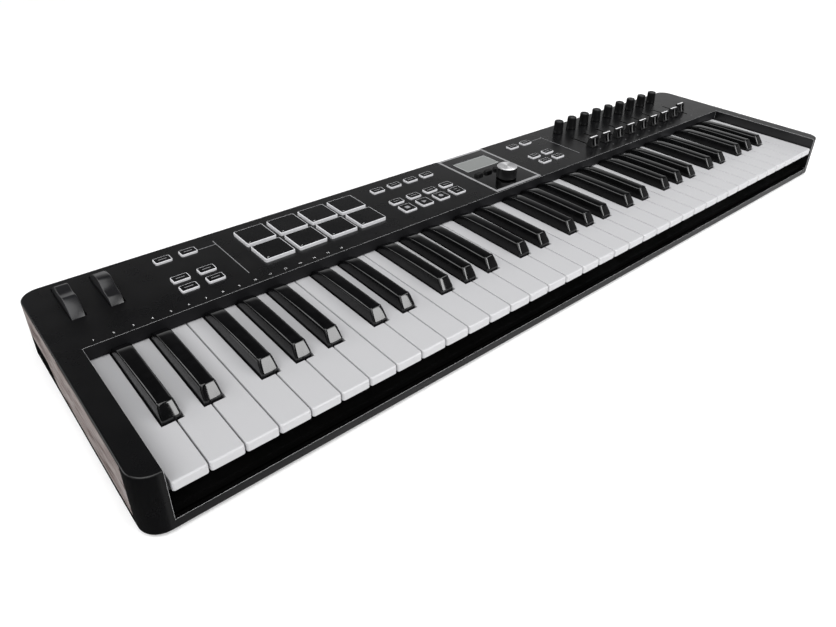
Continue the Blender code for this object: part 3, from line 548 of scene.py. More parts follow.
# smooth enough to mirror the dial
PLATE_GREY = surface("plate_grey", (7, 2), grey(0.21, 0.215), grey(0.23, 0.235),
                     ((6, 3), 0.05, 0.075), ((0.3, 2), 0.0003), 1.0)
STEEL = metal("zinc_steel", (0.56, 0.57, 0.60), (0.28, 0.42))
BRASS = metal("contact_gold", (0.78, 0.60, 0.30), (0.22, 0.34))
CIRCUIT = surface("circuit_green", (3, 4), (0.012, 0.075, 0.032), (0.022, 0.120, 0.052), 0.35,
                  ((1.4, 3), 0.03), ends=(0.35, 0.6))
FELT = surface("felt", (0.8, 5), grey(0.02, 0.022), grey(0.05, 0.053), 0.95, ((0.35, 5), 0.25),
               Sheen_Weight=0.5)


# ---------------------------------------------------------------- layout
def sharp_centres():
    """x of each sharp from its octave's start; the tails in each group are equal."""
    low = (3 * NATURAL_PITCH - 2 * SHARP_WIDTH) / 3
    high = (4 * NATURAL_PITCH - 3 * SHARP_WIDTH) / 4
    half = SHARP_WIDTH / 2
    group = 3 * NATURAL_PITCH
    first = [low + half, 2 * low + SHARP_WIDTH + half]
    return first + [group + n * high + (n - 1) * SHARP_WIDTH + half for n in (1, 2, 3)]


def natural_tail(step):
    """Left and right side of a natural's narrow rear part, from its octave's start."""
    half = SHARP_WIDTH / 2
    left, right = step * NATURAL_PITCH, (step + 1) * NATURAL_PITCH
    beside_left = [c for c in sharp_centres() if abs(c - left) < half]
    beside_right = [c for c in sharp_centres() if abs(c - right) < half]
    if beside_left:
        left = beside_left[0] + half
    if beside_right:
        right = beside_right[0] - half
    return left, right


PADS = [(x, x + PAD_SIZE, y, y + PAD_SIZE) for y in (PAD_Y0, PAD_Y0 + PAD_PITCH)
        for x in (PAD_X0 + PAD_PITCH * n for n in range(4))]


def button_box(x, y, long=BUTTON_LONG, deep=BUTTON_DEEP):
    return (x - long / 2, x + long / 2, y - deep / 2, y + deep / 2)


LEFT_BUTTONS = [button_box(x, y) for y in (167.1, 183.8, 220.2) for x in (86.1, 108.2)]
RIGHT_BUTTONS = [button_box(x, y) for y in (166.5, 183.3, 218.8) for x in (510.3, 532.9)]
TRANSPORT_X = [308.9 + 21.9 * n for n in range(4)]
TOP_ROW = [button_box(x, 219.3) for x in TRANSPORT_X]
MIDDLE_ROW = [button_box(x, 187.0) for x in TRANSPORT_X]
SQUARE_ROW = [button_box(x, 169.4, BUTTON_LONG, SQUARE_DEEP) for x in TRANSPORT_X]
MENU_BUTTONS = [button_box(ISLAND_X + MENU_BUTTON_PITCH * (n - 1.5), MENU_BUTTON_Y,
                           MENU_BUTTON_LONG, MENU_BUTTON_DEEP) for n in range(4)]


# ---------------------------------------------------------------- case
def make_case_top():
    """The black moulding: panel, end blocks and the rail under the key fronts."""
    solid = (CASE_LEFT, CASE_RIGHT, CASE_FRONT, CASE_REAR, CASE_LOW.z, PANEL_TOP, CORNER, EDGE, 4, 14)
    case = build("case_top", BLACK, add_pillow, solid)
    hollow_case(case)
    let_in_cheeks(case)
    cut_panel(case)
    cut_rear(case)
    paint_case(case)
    fit(case, "case", "case_black", "top_case")


def hollow_case(case):
    """Room for the keys in front, and inside the walls behind and beside them."""
    inner_left, inner_right = -KEY_SIDE_GAP, KEYS_WIDTH + KEY_SIDE_GAP
    cut(case, (inner_left, inner_right, CASE_FRONT - 5, PANEL_FRONT, LIP_TOP, ABOVE))
    cut(case, (inner_left, inner_right, CASE_FRONT + LIP_DEPTH, PANEL_FRONT + 1, BELOW, LIP_TOP + 1))
    wall = CHEEK_THICK + GAP + SKIN
    left, right = CASE_LEFT + wall, CASE_RIGHT - wall
    rear, front = CASE_REAR - SKIN, CASE_FRONT + LIP_DEPTH
    behind = PANEL_FRONT + SKIN
    cut(case, (left, right, behind, rear, BELOW, PANEL_UNDER))
    cut(case, (left, inner_left - SKIN, front, behind + 1, BELOW, PANEL_UNDER),
        (inner_right + SKIN, right, front, behind + 1, BELOW, PANEL_UNDER))
    cut(case, (left, right, front, rear, BELOW, SKIRT_LOW))
    cut(case, (inner_left, inner_right, PANEL_FRONT - 1, behind + 1, BELOW, KEY_TOP + KEY_CLEAR))


def let_in_cheeks(case):
    """Pockets for the wooden plates; below the plates the walls are open."""
    low, high = CHEEK_FRONT - 0.1, CHEEK_REAR + 0.1
    for depth, top in ((CHEEK_THICK + GAP, WOOD_TOP + 0.1), (CHEEK_THICK + GAP + SKIN + 1, CHEEK_LOW)):
        cut(case, (CASE_LEFT - 5, CASE_LEFT + depth, low, high, BELOW, top),
            (CASE_RIGHT - depth, CASE_RIGHT + 5, low, high, BELOW, top))


def paint_case(case):
    """Round the edges, with a painted highlight on the bevels that frame the keys; painted shade on
    the lip top and painted light on the wall over the keys, both duller than the panel.
    """
    black, painted_highlight, painted_shade, wall = range(4)
    for look in (PAINTED_EDGE_HIGHLIGHT, BLACK_AND_PAINTED_SHADE, WALL_PAINTED_LIGHT):
        case.data.materials.append(look)
    # clamping would shrink every edge to suit the thin strip over the wood
    soften(case, 0.18, slot=painted_highlight, clamp=False)
    # the bevels that frame the keys keep the painted highlight, the lip top takes painted shade and
    # the wall over the keys painted light
    for face in case.data.polygons:
        y, z = (face.center.y - ORIGIN.y) / MM, face.center.z / MM
        if face.material_index == painted_highlight and (y > PANEL_FRONT + 0.6 or z < LIP_TOP - 1):
            face.material_index = black
        elif y < LIP_DEPTH and abs(z - LIP_TOP) < 0.05:
            face.material_index = painted_shade
        elif abs(y - PANEL_FRONT) < 0.05:
            face.material_index = wall


def opening(box, corner, low, high, steps=3):
    """A rounded opening that leaves the same room on every side of a pad or button."""
    a, b, c, d = box
    outline = rounded_outline(a - BUTTON_ROOM, b + BUTTON_ROOM, c - BUTTON_ROOM, d + BUTTON_ROOM,
                              corner, steps)
    return outline, low, high


def cut_panel(case):
    """Every opening through the panel."""
    low, high = PANEL_UNDER - 3, PANEL_TOP + 5
    bm = bmesh.new()
    for x in WHEEL_X:
        add_prism(bm, rounded_outline(x - SLOT_HALF_X, x + SLOT_HALF_X, WHEEL_Y - SLOT_HALF_Y,
                                      WHEEL_Y + SLOT_HALF_Y, 1.2, 3), low, high)
    half = FADER_SLOT_WIDE / 2
    for x in CHANNEL_X:
        add_prism(bm, rounded_outline(x - half, x + half, *FADER_SLOT, half - 0.1, 4), low, high)
    for box in PADS:
        add_prism(bm, *opening(box, 1.8, low, high))
    for box in LEFT_BUTTONS + TOP_ROW + MIDDLE_ROW + SQUARE_ROW + RIGHT_BUTTONS:
        add_prism(bm, *opening(box, 2.0, low, high))
    for x in CHANNEL_X:
        add_round(bm, x, KNOB_Y, ((KNOB_HOLE_R, low), (KNOB_HOLE_R, high)), 16)
    combine(case, bm, "DIFFERENCE")
    cut(case, (ISLAND_X - ISLAND_HALF - 0.1, ISLAND_X + ISLAND_HALF + 0.1,
               ISLAND_FRONT - 0.1, CASE_REAR + 5, ISLAND_Z, high))
    ledge, front, rear = 2, 177.0, 229.0
    cut(case, (ISLAND_X - BEZEL_HALF + ledge, ISLAND_X + BEZEL_HALF - ledge, front, rear, low, high))
    shaft_hole = (DIAL_X, DIAL_Y, ((DIAL_HOLE_R, low), (DIAL_HOLE_R, high)), 24)
    combine(case, gather(add_round, shaft_hole), "DIFFERENCE")


def cut_rear(case):
    """Socket openings and the lock slot in the rear wall."""
    y0, y1 = CASE_REAR - SKIN - 1, CASE_REAR + 1
    room, under = 0.4, 1.2
    openings = [(x - half - room, x + half + room, y0, y1, SOCKET_Z - under, SOCKET_Z + tall + room)
                for x, half, tall in SOCKETS.values()]
    cut(case, *openings, (LOCK_X - 3.6, LOCK_X + 3.6, y0, y1, SOCKET_Z + 3.0, SOCKET_Z + 6.2))


def make_cheeks():
    """Wood-look plates let into both sides."""
    profile = [(CHEEK_FRONT, CHEEK_LOW), (CHEEK_STEP[0], CHEEK_LOW)]
    for i in range(1, 10):
        t = i / 10
        ease = t * t * (3 - 2 * t)
        profile.append((CHEEK_STEP[0] + (CHEEK_STEP[1] - CHEEK_STEP[0]) * t,
                        CHEEK_LOW + (CHEEK_LOW_REAR - CHEEK_LOW) * ease))
    profile += [(CHEEK_STEP[1], CHEEK_LOW_REAR), (CHEEK_REAR, CHEEK_LOW_REAR),
                (CHEEK_REAR, WOOD_TOP), (CHEEK_FRONT, WOOD_TOP)]
    for node, x in (("left_cheek", CASE_LEFT), ("right_cheek", CASE_RIGHT - CHEEK_THICK)):
        cheek = build(node + "_plate", WOOD, add_profile, (profile, x, x + CHEEK_THICK))
        fit(soften(cheek, 0.35), "case", "cheek_wood", node)


# ---------------------------------------------------------------- keys
def add_rail(bm, span, tails, z0):
    """The strip that joins a moulding's keys, with an arm to each."""
    z1 = z0 + RAIL_THICK
    add_box(bm, *span, RAIL_FRONT, RAIL_REAR, z0, z1)
    for left, right in tails:
        add_box(bm, left + 0.6, right - 0.6, KEY_REAR, RAIL_FRONT, z0 + 0.15, z1 - 0.15)


def make_naturals(name, node, start, steps, rail, top_key=False):
    """Naturals of one moulding, with the rail behind them."""
    bm = bmesh.new()
    tails = [natural_solid(bm, start, step, top_key) for step in steps]
    comb = new_piece(name, bm, WHITE)
    low, high = plan(node)
    cut(comb, (low.x - 1, high.x + 1, -1, KEY_HOLLOW, NATURAL_BOTTOM - 1, KEY_LIP))
    soften(comb, 0.25, 2, 50)
    bm = bmesh.new()
    add_rail(bm, (low.x, high.x), tails, rail)
    append(comb, bm)
    fit(comb, node, "key_white", node)


def natural_solid(bm, start, step, top_key):
    """Head and tail from one plan outline, drawn in as it rises over the rolled top edge."""
    x = start + step * NATURAL_PITCH
    left, right = x + KEY_GAP, x + NATURAL_PITCH - KEY_GAP
    tail_left, tail_right = left, right
    if not top_key:
        tail_left, tail_right = natural_tail(step)
        tail_left, tail_right = start + tail_left + KEY_GAP, start + tail_right - KEY_GAP
    notch = SHARP_FRONT - 1.0
    corner, roll, side_roll, steps = 1.8, 1.5, 0.5, 6

    def outline(front, side):
        points = quarter_circle(left + side + corner, front + corner, corner, 180, 4)
        points += quarter_circle(right - side - corner, front + corner, corner, 270, 4)
        if tail_right < right - 0.01:
            points += [(right - side, notch - side), (tail_right - side, notch - side)]
        points += [(tail_right - side, KEY_REAR), (tail_left + side, KEY_REAR)]
        if tail_left > left + 0.01:
            points += [(tail_left + side, notch - side), (left + side, notch - side)]
        return points

    rings = [[(px, y, NATURAL_BOTTOM) for px, y in outline(0.0, 0.0)]]
    for a in quarter(steps):
        z = KEY_TOP - roll * (1 - math.sin(a))
        ease = 1 - math.cos(a)
        rings.append([(px, y, z) for px, y in outline(roll * ease, side_roll * ease)])
    loft(bm, rings)
    return tail_left, tail_right


def append(obj, bm):
    """Add loose geometry to a piece."""
    bmesh.ops.recalc_face_normals(bm, faces=bm.faces)
    bm.from_mesh(obj.data)
    bm.to_mesh(obj.data)
    bm.free()


SHARP_FOOT = SHARP_WIDTH / 2 - 0.25
SHARP_SKIRT = 2.6               # upright lower part of a sharp's front
SHARP_SLOPE = 5.6               # how far back the front leans
SHARP_ROLL = 1.6                # length of the rounding from the front to the top
SHARP_CORNER = 2.0              # plan radius of the front's upright edges
SHARP_LEAN, SHARP_BELLY = 1.45, 0.3     # how far each flank leans in, and bulges out halfway
SHARP_FALL, TAIL_FALL, TAIL_DIP = 1.3, 1.0, 4.4     # how far the top runs down, in three parts
SHARP_SINK = KEY_TOP - 0.4      # a sharp's sides go on straight below this height
FACET_TOP = SHARP_TOP - 0.9
FLANK_TOP = SHARP_TOP - 2.4
TAIL_DIP_START, TAIL_DIP_END = 120.0, PANEL_FRONT - 1.6


def share(value):
    """A value kept between nought and one."""
    return max(0.0, min(1.0, value))


def round_off(radius, inside):
    """How far a rounded edge draws in at a distance inside the sharp one."""
    if inside >= radius:
        return 0.0
    return radius - math.sqrt(max(0.0, radius ** 2 - (radius - inside) ** 2))


def sharp_crown(y):
    """Height of a sharp's middle line: leaning front, long level top, rear running down."""
    skirt = KEY_TOP + SHARP_SKIRT
    ahead = y - SHARP_FRONT
    if ahead <= SHARP_SLOPE:
        return skirt + (FACET_TOP - skirt) * max(ahead, 0.0) / SHARP_SLOPE
    level = SHARP_FRONT + SHARP_SLOPE + SHARP_ROLL
    if y <= level:
        t = (level - y) / SHARP_ROLL
        return FACET_TOP + (SHARP_TOP - FACET_TOP) * (1 - t ** 2.2)
    if y <= TAIL_DIP_START:
        return SHARP_TOP - SHARP_FALL * ((y - level) / (TAIL_DIP_START - level)) ** 2
    t = share((y - TAIL_DIP_START) / (TAIL_DIP_END - TAIL_DIP_START))
    return SHARP_TOP - SHARP_FALL - TAIL_FALL * t - TAIL_DIP * t ** 2.5


def sharp_half_width(y, z, crown):
    """Half width at a height: flanks lean in, front corners and top edges are rounded."""
    rise = share((z - KEY_TOP) / (SHARP_TOP - KEY_TOP))
    flank = SHARP_FOOT - SHARP_LEAN * rise + SHARP_BELLY * math.sin(math.pi * rise)
    skirt = KEY_TOP + SHARP_SKIRT
    front = SHARP_FRONT
    if z > skirt:
        front += SHARP_SLOPE * (z - skirt) / (FACET_TOP - skirt)
    # the top edges' radius grows over the first stretch of the top and shrinks to the rear
    grow = share((y - SHARP_FRONT - SHARP_SLOPE) / 4.0)
    fade = share((y - SHARP_FRONT) / (PANEL_FRONT - SHARP_FRONT))
    edge = 0.15 + (1.85 - 1.2 * fade) * grow
    return flank - round_off(SHARP_CORNER, max(0.0, y - front)) - round_off(edge, crown - z)


def sharp_section(x, y):
    """One ring across a sharp, with more of its points near the top."""
    crown = sharp_crown(y)
    heights = [SHARP_BOTTOM]
    heights += [SHARP_SINK + (crown - SHARP_SINK) * math.sin(a) for a in quarter(12)]
    half = [(sharp_half_width(y, z, crown), z) for z in heights]
    half.append((half[-1][0] * 0.5, crown + 0.1))
    return [(x + w, y, z) for w, z in half] + [(x - w, y, z) for w, z in reversed(half)]


def make_sharp(bm, x):
    """Rings from the front to the rear, closest together over the front's roundings."""
    ahead = [0.0, 0.1, 0.3, 0.6, 1.0, 1.5, 2.0] + [2.0 + 0.6 * i for i in range(1, 7)]
    level = SHARP_SLOPE + SHARP_ROLL
    ahead += [SHARP_SLOPE + SHARP_ROLL * i / 5 for i in range(1, 6)] + [level + 1.2, level + 2.6]
    stations = [SHARP_FRONT + a for a in ahead]
    stations += [stations[-1] + (TAIL_DIP_START - stations[-1]) * i / 5 for i in range(1, 6)]
    stations += [TAIL_DIP_START + (TAIL_DIP_END - TAIL_DIP_START) * i / 8 for i in range(1, 9)]
    rings = [sharp_section(x, y) for y in stations]
    last = [(px, min(z, KEY_TOP - 0.2)) for px, y, z in rings[-1]]
    rings.append([(px, TAIL_DIP_END + 0.6, z) for px, z in last])
    rings.append([(px, KEY_REAR, z) for px, z in last])
    loft(bm, rings)
    return x - SHARP_FOOT, x + SHARP_FOOT


def make_sharps(node, start):
    """The five sharps of an octave, their flanks duller than their tops."""
    bm = bmesh.new()
    tails = [make_sharp(bm, start + x) for x in sharp_centres()]
    low, high = plan(node)
    add_rail(bm, (low.x, high.x), tails, RAIL_HIGH)
    sharps = new_piece(node + "_keys", bm, EBONY)
    sharps.data.materials.append(FLANK)
    for face in sharps.data.polygons:
        if abs(face.normal.x) > 0.93 and face.center.z < FLANK_TOP * MM:
            face.material_index = 1
    fit(shade(sharps, 32), node, "key_black", node)


def make_keys():
    combs = (("naturals_c_e_g_b", (0, 2, 4, 6), RAIL_LOW), ("naturals_d_f_a", (1, 3, 5), RAIL_MID))
    for n in range(OCTAVES):
        start = n * OCTAVE
        prefix = f"octave_{n + 1}_"
        for suffix, steps, rail in combs:
            make_naturals(prefix + suffix + "_keys", prefix + suffix, start, steps, rail)
        make_sharps(prefix + "sharps", start)
    make_naturals("top_natural_c_key", "top_natural_c", OCTAVES * OCTAVE, (0,), RAIL_LOW, True)


# ---------------------------------------------------------------- wheels
def make_wheel(name, node, x, dip_angle, front, rear):
    """Rim sector with a thumb hollow, rolled edges, hub and stub axles."""
    hub, steps, edge = 8.0, 72, 0.9
    dip_half, dip_depth = 18.0, 3.2
    outline = []
    for i in range(steps + 1):
        angle = front - (front + rear) * i / steps
        away = abs(angle - dip_angle) / dip_half
        radius = WHEEL_R - (dip_depth * math.cos(away * math.pi / 2) if away < 1 else 0.0)
        outline.append((radius, math.radians(angle)))
    under = 360.0 - front - rear - 10.0
    outline += [(hub, math.radians(-rear - 5 - under * i / 9)) for i in range(10)]
    rings = []
    for side, turns in ((-1, quarter(4)), (1, quarter(4)[::-1])):
        for a in turns:
            inset = edge * (1 - math.sin(a))
            px = x + side * (WHEEL_HALF - edge * (1 - math.cos(a)))
            rings.append([(px, WHEEL_Y - (r - inset) * math.sin(turn),
                           WHEEL_Z + (r - inset) * math.cos(turn)) for r, turn in outline])
    wheel = build(name, GREY, loft, (rings,))
    axle = (circle(WHEEL_Y, WHEEL_Z, 2.5, 20), x - WHEEL_HALF - 2.6, x + WHEEL_HALF + 2.6)
    combine(wheel, gather(add_profile, axle), "UNION")
    fit(shade(wheel, 30), node, "wheel_grey", node)


# ---------------------------------------------------------------- pads and buttons
def make_mat(name, node, boxes, look, slot, web, top, corner, roll, steps=4):
    """Moulded pads or buttons on their common web."""
    low, high = plan(node)
    bm = gather(add_box, (low.x, high.x, low.y, high.y, low.z, low.z + web))
    for box in boxes:
        add_pillow(bm, *box, low.z + web, top, corner, roll, steps)
    fit(flatten(new_piece(name, bm, look), 50), node, slot, node)


def make_faces(name, node, boxes, rim, bottom, top, corner, roll, steps=4):
    """A dark face printed on each pad or button, inside its pale rim."""
    faces = [(a + rim, b - rim, c + rim, d - rim, bottom, top, corner, roll, steps)
             for a, b, c, d in boxes]
    piece = build(name, FACE, add_pillow, *faces)
    fit(flatten(piece, 50), node, "case_black")


def make_pads():
    """Pale translucent rims with dark faces, on one mat."""
    node = "drum_pad_mat"
    make_mat("pad_rims", node, PADS, SILICONE, "pad_silicone", PAD_WEB, PAD_TOP - 0.12, 1.5, 0.45)
    make_faces("pad_faces", node, PADS, 0.75, PAD_TOP - 0.6, PAD_TOP, 1.0, 0.12)
    marks = [(x + 2.6, x + 4.2, y + 2.4, y + 2.8, PAD_TOP, PAD_TOP + 0.04) for x, _, y, _ in PADS]
    fit(build("pad_marks", PRINT, add_box, *marks), node, "case_black")


def make_keypad(node, boxes):
    """Silicone buttons on their web, with a dark face and a mark printed on each."""
    make_mat(node + "_buttons", node, boxes, SILICONE, "button_silicone", BUTTON_WEB,
             BUTTON_TOP - 0.1, 1.5, 0.4)
    make_faces(node + "_faces", node, boxes, 0.7, BUTTON_TOP - 0.4, BUTTON_TOP, 0.9, 0.1, 3)
    bm = bmesh.new()
    for a, b, c, d in boxes:
        x, y = (a + b) / 2, (c + d) / 2
        if (a, b, c, d) in SQUARE_ROW:
            add_icon(bm, SQUARE_ROW.index((a, b, c, d)), x, y)
        else:
            add_box(bm, a + 3.6, b - 3.6, y - 0.35, y + 0.35, BUTTON_TOP, BUTTON_TOP + 0.04)
    fit(new_piece(node + "_marks", bm, FAINT_PRINT), node, "case_black")


def add_icon(bm, kind, x, y):
    """Plain transport shapes: square, triangle, disc and two bars."""
    z = (BUTTON_TOP, BUTTON_TOP + 0.05)
    size = 2.3
    if kind == 0:
        add_box(bm, x - size, x + size, y - size, y + size, *z)
    elif kind == 1:
        triangle = [(x - size, y - size * 1.15), (x + size * 1.2, y), (x - size, y + size * 1.15)]
        add_prism(bm, triangle, *z)
    elif kind == 2:
        add_prism(bm, circle(x, y, size * 1.1, 24), *z)
    else:
        for side in (-1, 1):
            add_box(bm, x - size, x + size, y + side * size - 0.4, y + side * size + 0.4, *z)


def make_menu_keypad():
    """Four soft buttons under the display."""
    make_mat("menu_buttons", "menu_keypad", MENU_BUTTONS, RUBBER, "menu_rubber", BUTTON_WEB,
             MENU[1].z, 2.2, 0.8, 5)


# ---------------------------------------------------------------- knobs, faders, dial
def make_knob(index):
    """Tapered soft-touch cap with shallow flutes and a dished top."""
    node = f"knob_{index + 1}"
    base = plan(node)[0].z
    height = KNOB_TOP - base
    waist, collar, dome, dome_in = KNOB_BASE_R - 0.12, 2.4, 1.6, 1.3
    stack = [(KNOB_BASE_R - 0.25, base, 0.0), (KNOB_BASE_R, base + 0.3, 0.0),
             (KNOB_BASE_R - 0.02, base + 1.6, 0.0), (waist, base + collar, 0.6)]
    for i in range(1, 7):
        t = i / 6
        z = base + collar + (height - collar - dome) * t
        stack.append((waist - (waist - KNOB_TOP_R) * t, z, 1.0))
    for i, a in enumerate(quarter(5)[1:], 1):
        z = KNOB_TOP - dome + dome * math.sin(a)
        stack.append((KNOB_TOP_R - dome_in * (1 - math.cos(a)), z, 1.0 - i / 6))
    stack += [(KNOB_TOP_R - 2.2, KNOB_TOP - 0.25, 0.0), (0.4, KNOB_TOP - 0.35, 0.0)]
    count, flutes, flute_deep = 72, 6, 0.5
    hollows = [flute_deep * max(0.0, math.cos(flutes * 2 * math.pi * i / count)) ** 2
               for i in range(count)]
    knob = build(node + "_cap", RUBBER, add_gripped, (CHANNEL_X[index], KNOB_Y, stack, hollows))
    fit(shade(knob, 40), node, "knob_rubber", node)


def make_fader(index):
    """Black cap, waisted for the fingers, with a white line across its ridge."""
    node = f"fader_cap_{index + 1}"
    x, y = CHANNEL_X[index], FADER_Y[index]
    base, shoulder = PANEL_TOP + 0.5, FADER_TOP - 1.2
    half_x, half_y = FADER_WIDE / 2, FADER_DEEP / 2
    waist = 2.6
    rows = []
    for i in range(13):
        t = i / 12
        rows.append((half_y - waist * math.sin(t * math.pi / 2) ** 0.9, base + (shoulder - base) * t))
    for a in quarter(4)[1:]:
        rows.append((half_y - waist - 0.9 * (1 - math.cos(a)), shoulder + 1.2 * math.sin(a)))
    profile = [(y + w, z) for w, z in rows] + [(y - w, z) for w, z in reversed(rows)]
    cap = build(node + "_body", BLACK, add_profile, (profile, x - half_x, x + half_x))
    grooves = []
    for side in (-1, 1):
        y0, y1 = sorted((y + side * (half_y - 3.6), y + side * (half_y + 2)))
        grooves += [(x + gx - 1.7, x + gx + 1.7, y0, y1, base + 1.6, FADER_TOP - 2.2)
                    for gx in (-3.2, 3.2)]
    cut(cap, *grooves)
    stem = (x - 0.7, x + 0.7, y - 3, y + 3, plan(node)[0].z, base + 1)
    combine(cap, gather(add_box, stem), "UNION")
    fit(soften(cap, 0.3, 2, 45), node, "fader_black", node)
    line = (x - half_x + 0.25, x + half_x - 0.25, y - 0.85, y + 0.85, FADER_TOP - 0.5,
            FADER_TOP + 0.08)
    fit(build(node + "_line", PRINT, add_box, line), node, "fader_black")
    bm = bmesh.new()
    for side in (-1, 1):
        face = [(y + side * (w + 0.08), z) for w, z in rows[1:14]]
        add_profile(bm, face + [(py - side * 0.6, z) for py, z in reversed(face)], x - 0.9, x + 0.9)
    fit(shade(new_piece(node + "_rib", bm, RIB)), node, "fader_black")


def make_dial():
    """Black skirt with a fine grip and a spun metal top."""
    body = ((DIAL_R - 0.3, DIAL_BASE, 0), (DIAL_R, DIAL_BASE + 0.4, 0),
            (DIAL_R, DIAL_BASE + 1.6, 0), (DIAL_R - 0.1, DIAL_BASE + 1.9, 1),
            (DIAL_R - 0.15, DIAL_TOP - 2.3, 1), (DIAL_R - 0.2, DIAL_TOP - 1.9, 0),
            (DIAL_R - 0.25, DIAL_TOP - 1.5, 0), (DIAL_R - 0.8, DIAL_TOP - 1.3, 0))
    grip = [0.12 * (i % 2) for i in range(144)]
    skirt = build("menu_dial_skirt", RUBBER, add_gripped, (DIAL_X, DIAL_Y, body, grip))
    fit(shade(skirt, 40), "menu_dial", "dial_black", "menu_dial")
    top = ((DIAL_R - 0.35, DIAL_TOP - 1.45), (DIAL_R - 0.3, DIAL_TOP - 1.0),
           (DIAL_R - 1.2, DIAL_TOP - 0.15), (DIAL_R - 1.7, DIAL_TOP), (DIAL_R - 2.2, DIAL_TOP - 0.1),
           (DIAL_R - 6.0, DIAL_TOP - 0.28), (0.3, DIAL_TOP - 0.35))
    disc = build("menu_dial_top", spun_silver_painted_reflection(), add_round, (DIAL_X, DIAL_Y, top, 96))
    fit(shade(disc, 25), "menu_dial", "surround_silver")


# ---------------------------------------------------------------- display
def make_display():
    """Satin silver frame, dark mirror plate, and the liquid-crystal module below."""
    base, rear = SURROUND[0].z, SURROUND[1].y
    through = (base - 1, ISLAND_TOP + 1)
    roll = 1.3
    profile = [(ISLAND_FRONT, base), (ISLAND_FRONT, ISLAND_TOP)]
    profile += [(rear - roll + roll * math.sin(a), ISLAND_TOP - roll + roll * math.cos(a))
                for a in quarter(5)]
    profile.append((rear, base))
    solid = (profile, ISLAND_X - ISLAND_HALF, ISLAND_X + ISLAND_HALF)
    surround = build("display_frame", SILVER, add_profile, solid)
    cut(surround, (ISLAND_X - BEZEL_HALF - 0.1, ISLAND_X + BEZEL_HALF + 0.1, BEZEL_FRONT - 0.1,
                   BEZEL_REAR + 0.1, *through))
    fit(soften(surround, 0.25), "case", "surround_silver", "display_surround")
    slab = (ISLAND_X - BEZEL_HALF, ISLAND_X + BEZEL_HALF, BEZEL_FRONT, BEZEL_REAR, base,
            ISLAND_TOP - 0.15)
    plate = build("display_bezel", PLATE_GREY, add_box, slab)
    window = rounded_outline(ISLAND_X - LCD_HALF, ISLAND_X + LCD_HALF, LCD_FRONT, LCD_REAR, 0.8, 3)
    bm = gather(add_prism, (window, *through))
    for box in MENU_BUTTONS:
        add_prism(bm, *opening(box, 2.4, *through, 4))
    add_round(bm, DIAL_X, DIAL_Y, [(DIAL_HOLE_R, z) for z in through], 32)
    combine(plate, bm, "DIFFERENCE")
    fit(soften(plate, 0.15), "case", "display_grey", "display_plate")
    make_lcd(base - GAP)


def make_lcd(under):
    """Module body, its painted border and the grey cell."""
    low, high = MODULE
    tray = (low.x, high.x, low.y, high.y, low.z, under)
    body = soften(build("lcd_body", BLACK_STEEL_AND_PAINTED_SHADE, add_box, tray), 0.3)
    fit(body, "case", "display_glass", "display_module")
    margin, border = 0.5, 1.6
    a, b = ISLAND_X - LCD_HALF + margin, ISLAND_X + LCD_HALF - margin
    c, d = LCD_FRONT + margin, LCD_REAR - margin
    cover = build("lcd_border", LCD_BORDER, add_box, (a, b, c, d, under, high.z))
    fit(soften(cover, 0.15), "case", "display_glass")
    cell = (a + border, b - border, c + border, d - border, high.z, high.z + 0.06)
    fit(build("lcd_cell", lcd_cell(), add_box, cell), "case", "display_glass")


# ---------------------------------------------------------------- rear sockets
def make_sockets():
    """Sockets on the main board, as the rear wall's openings show them."""
    slab = (BOARD[0].x, BOARD[1].x, BOARD[0].y, CASE_REAR - SKIN - 0.6, BOARD[0].z, SOCKET_Z)
    board = build("main_circuit_board", CIRCUIT, add_box, slab)
    fit(board, "case", "circuit_board", "main_board")
    make_usb()
    make_din()
    make_jack()
    make_power_inlet()


def make_usb():
    """Pressed steel shell with a plastic tongue and four contacts."""
    x, half, tall = SOCKETS["usb"]
    rear, top = SOCKET_REAR, SOCKET_Z
    outside = (x - half, x + half, rear - 16, rear, top, top + tall)
    shell = build("usb_shell", STEEL, add_box, outside)
    cut(shell, (x - 4.3, x + 4.3, rear - 9, rear + 1, top + 1.6, top + 9.4))
    fit(soften(shell, 0.3), "case", "frame_steel")
    blade = (x - 2.9, x + 2.9, rear - 9, rear - 1, top + 1.7, top + 4.4)
    tongue = build("usb_tongue", BLACK_AND_PAINTED_SHADE, add_box, blade)
    fit(soften(tongue, 0.2), "case", "case_black")
    contacts = [(x + side - 0.35, x + side + 0.35, rear - 8, rear - 1.8, z, z + 0.08)
                for z in (top + 1.62, top + 4.4) for side in (-1.25, 1.25)]
    fit(build("usb_contacts", BRASS, add_box, *contacts), "case", "frame_steel")


def socket_block(kind, name, depth, bore, bore_depth, count):
    """A moulded block with one round blind hole; gives back the hole's axis."""
    x, half, tall = SOCKETS[kind]
    rear, top = SOCKET_REAR, SOCKET_Z
    centre = top + tall / 2
    solid = (x - half, x + half, rear - depth, rear, top, top + tall)
    block = build(name, BLACK_AND_PAINTED_SHADE, add_box, solid)
    hole = (x, centre, ((bore, rear + 1), (bore, rear - bore_depth)), count)
    combine(block, gather(add_turned_back, hole), "DIFFERENCE")
    fit(soften(block, 0.3), "case", "case_black")
    return x, centre


def make_din():
    """Five-pin socket: five contacts on an arc in the insert."""
    x, z = socket_block("midi", "midi_socket", 18, 7.6, 8.5, 48)
    rear = SOCKET_REAR
    insert = (x, z, ((7.2, rear - 8.4), (7.2, rear - 7.6)), 40)
    fit(build("midi_insert", GREY, add_turned_back, insert), "case", "case_black")
    contact = ((1.0, rear - 7.55), (0.75, rear - 7.3), (0.5, rear - 7.55))
    arc = 4.6
    turns = [math.radians(45 * n) for n in range(5)]
    spots = [(x + arc * math.cos(a), z - arc * math.sin(a)) for a in turns]
    contacts = gather(add_turned_back, *[(*spot, contact, 14) for spot in spots])
    fit(new_piece("midi_contacts", contacts, BRASS), "case", "frame_steel")


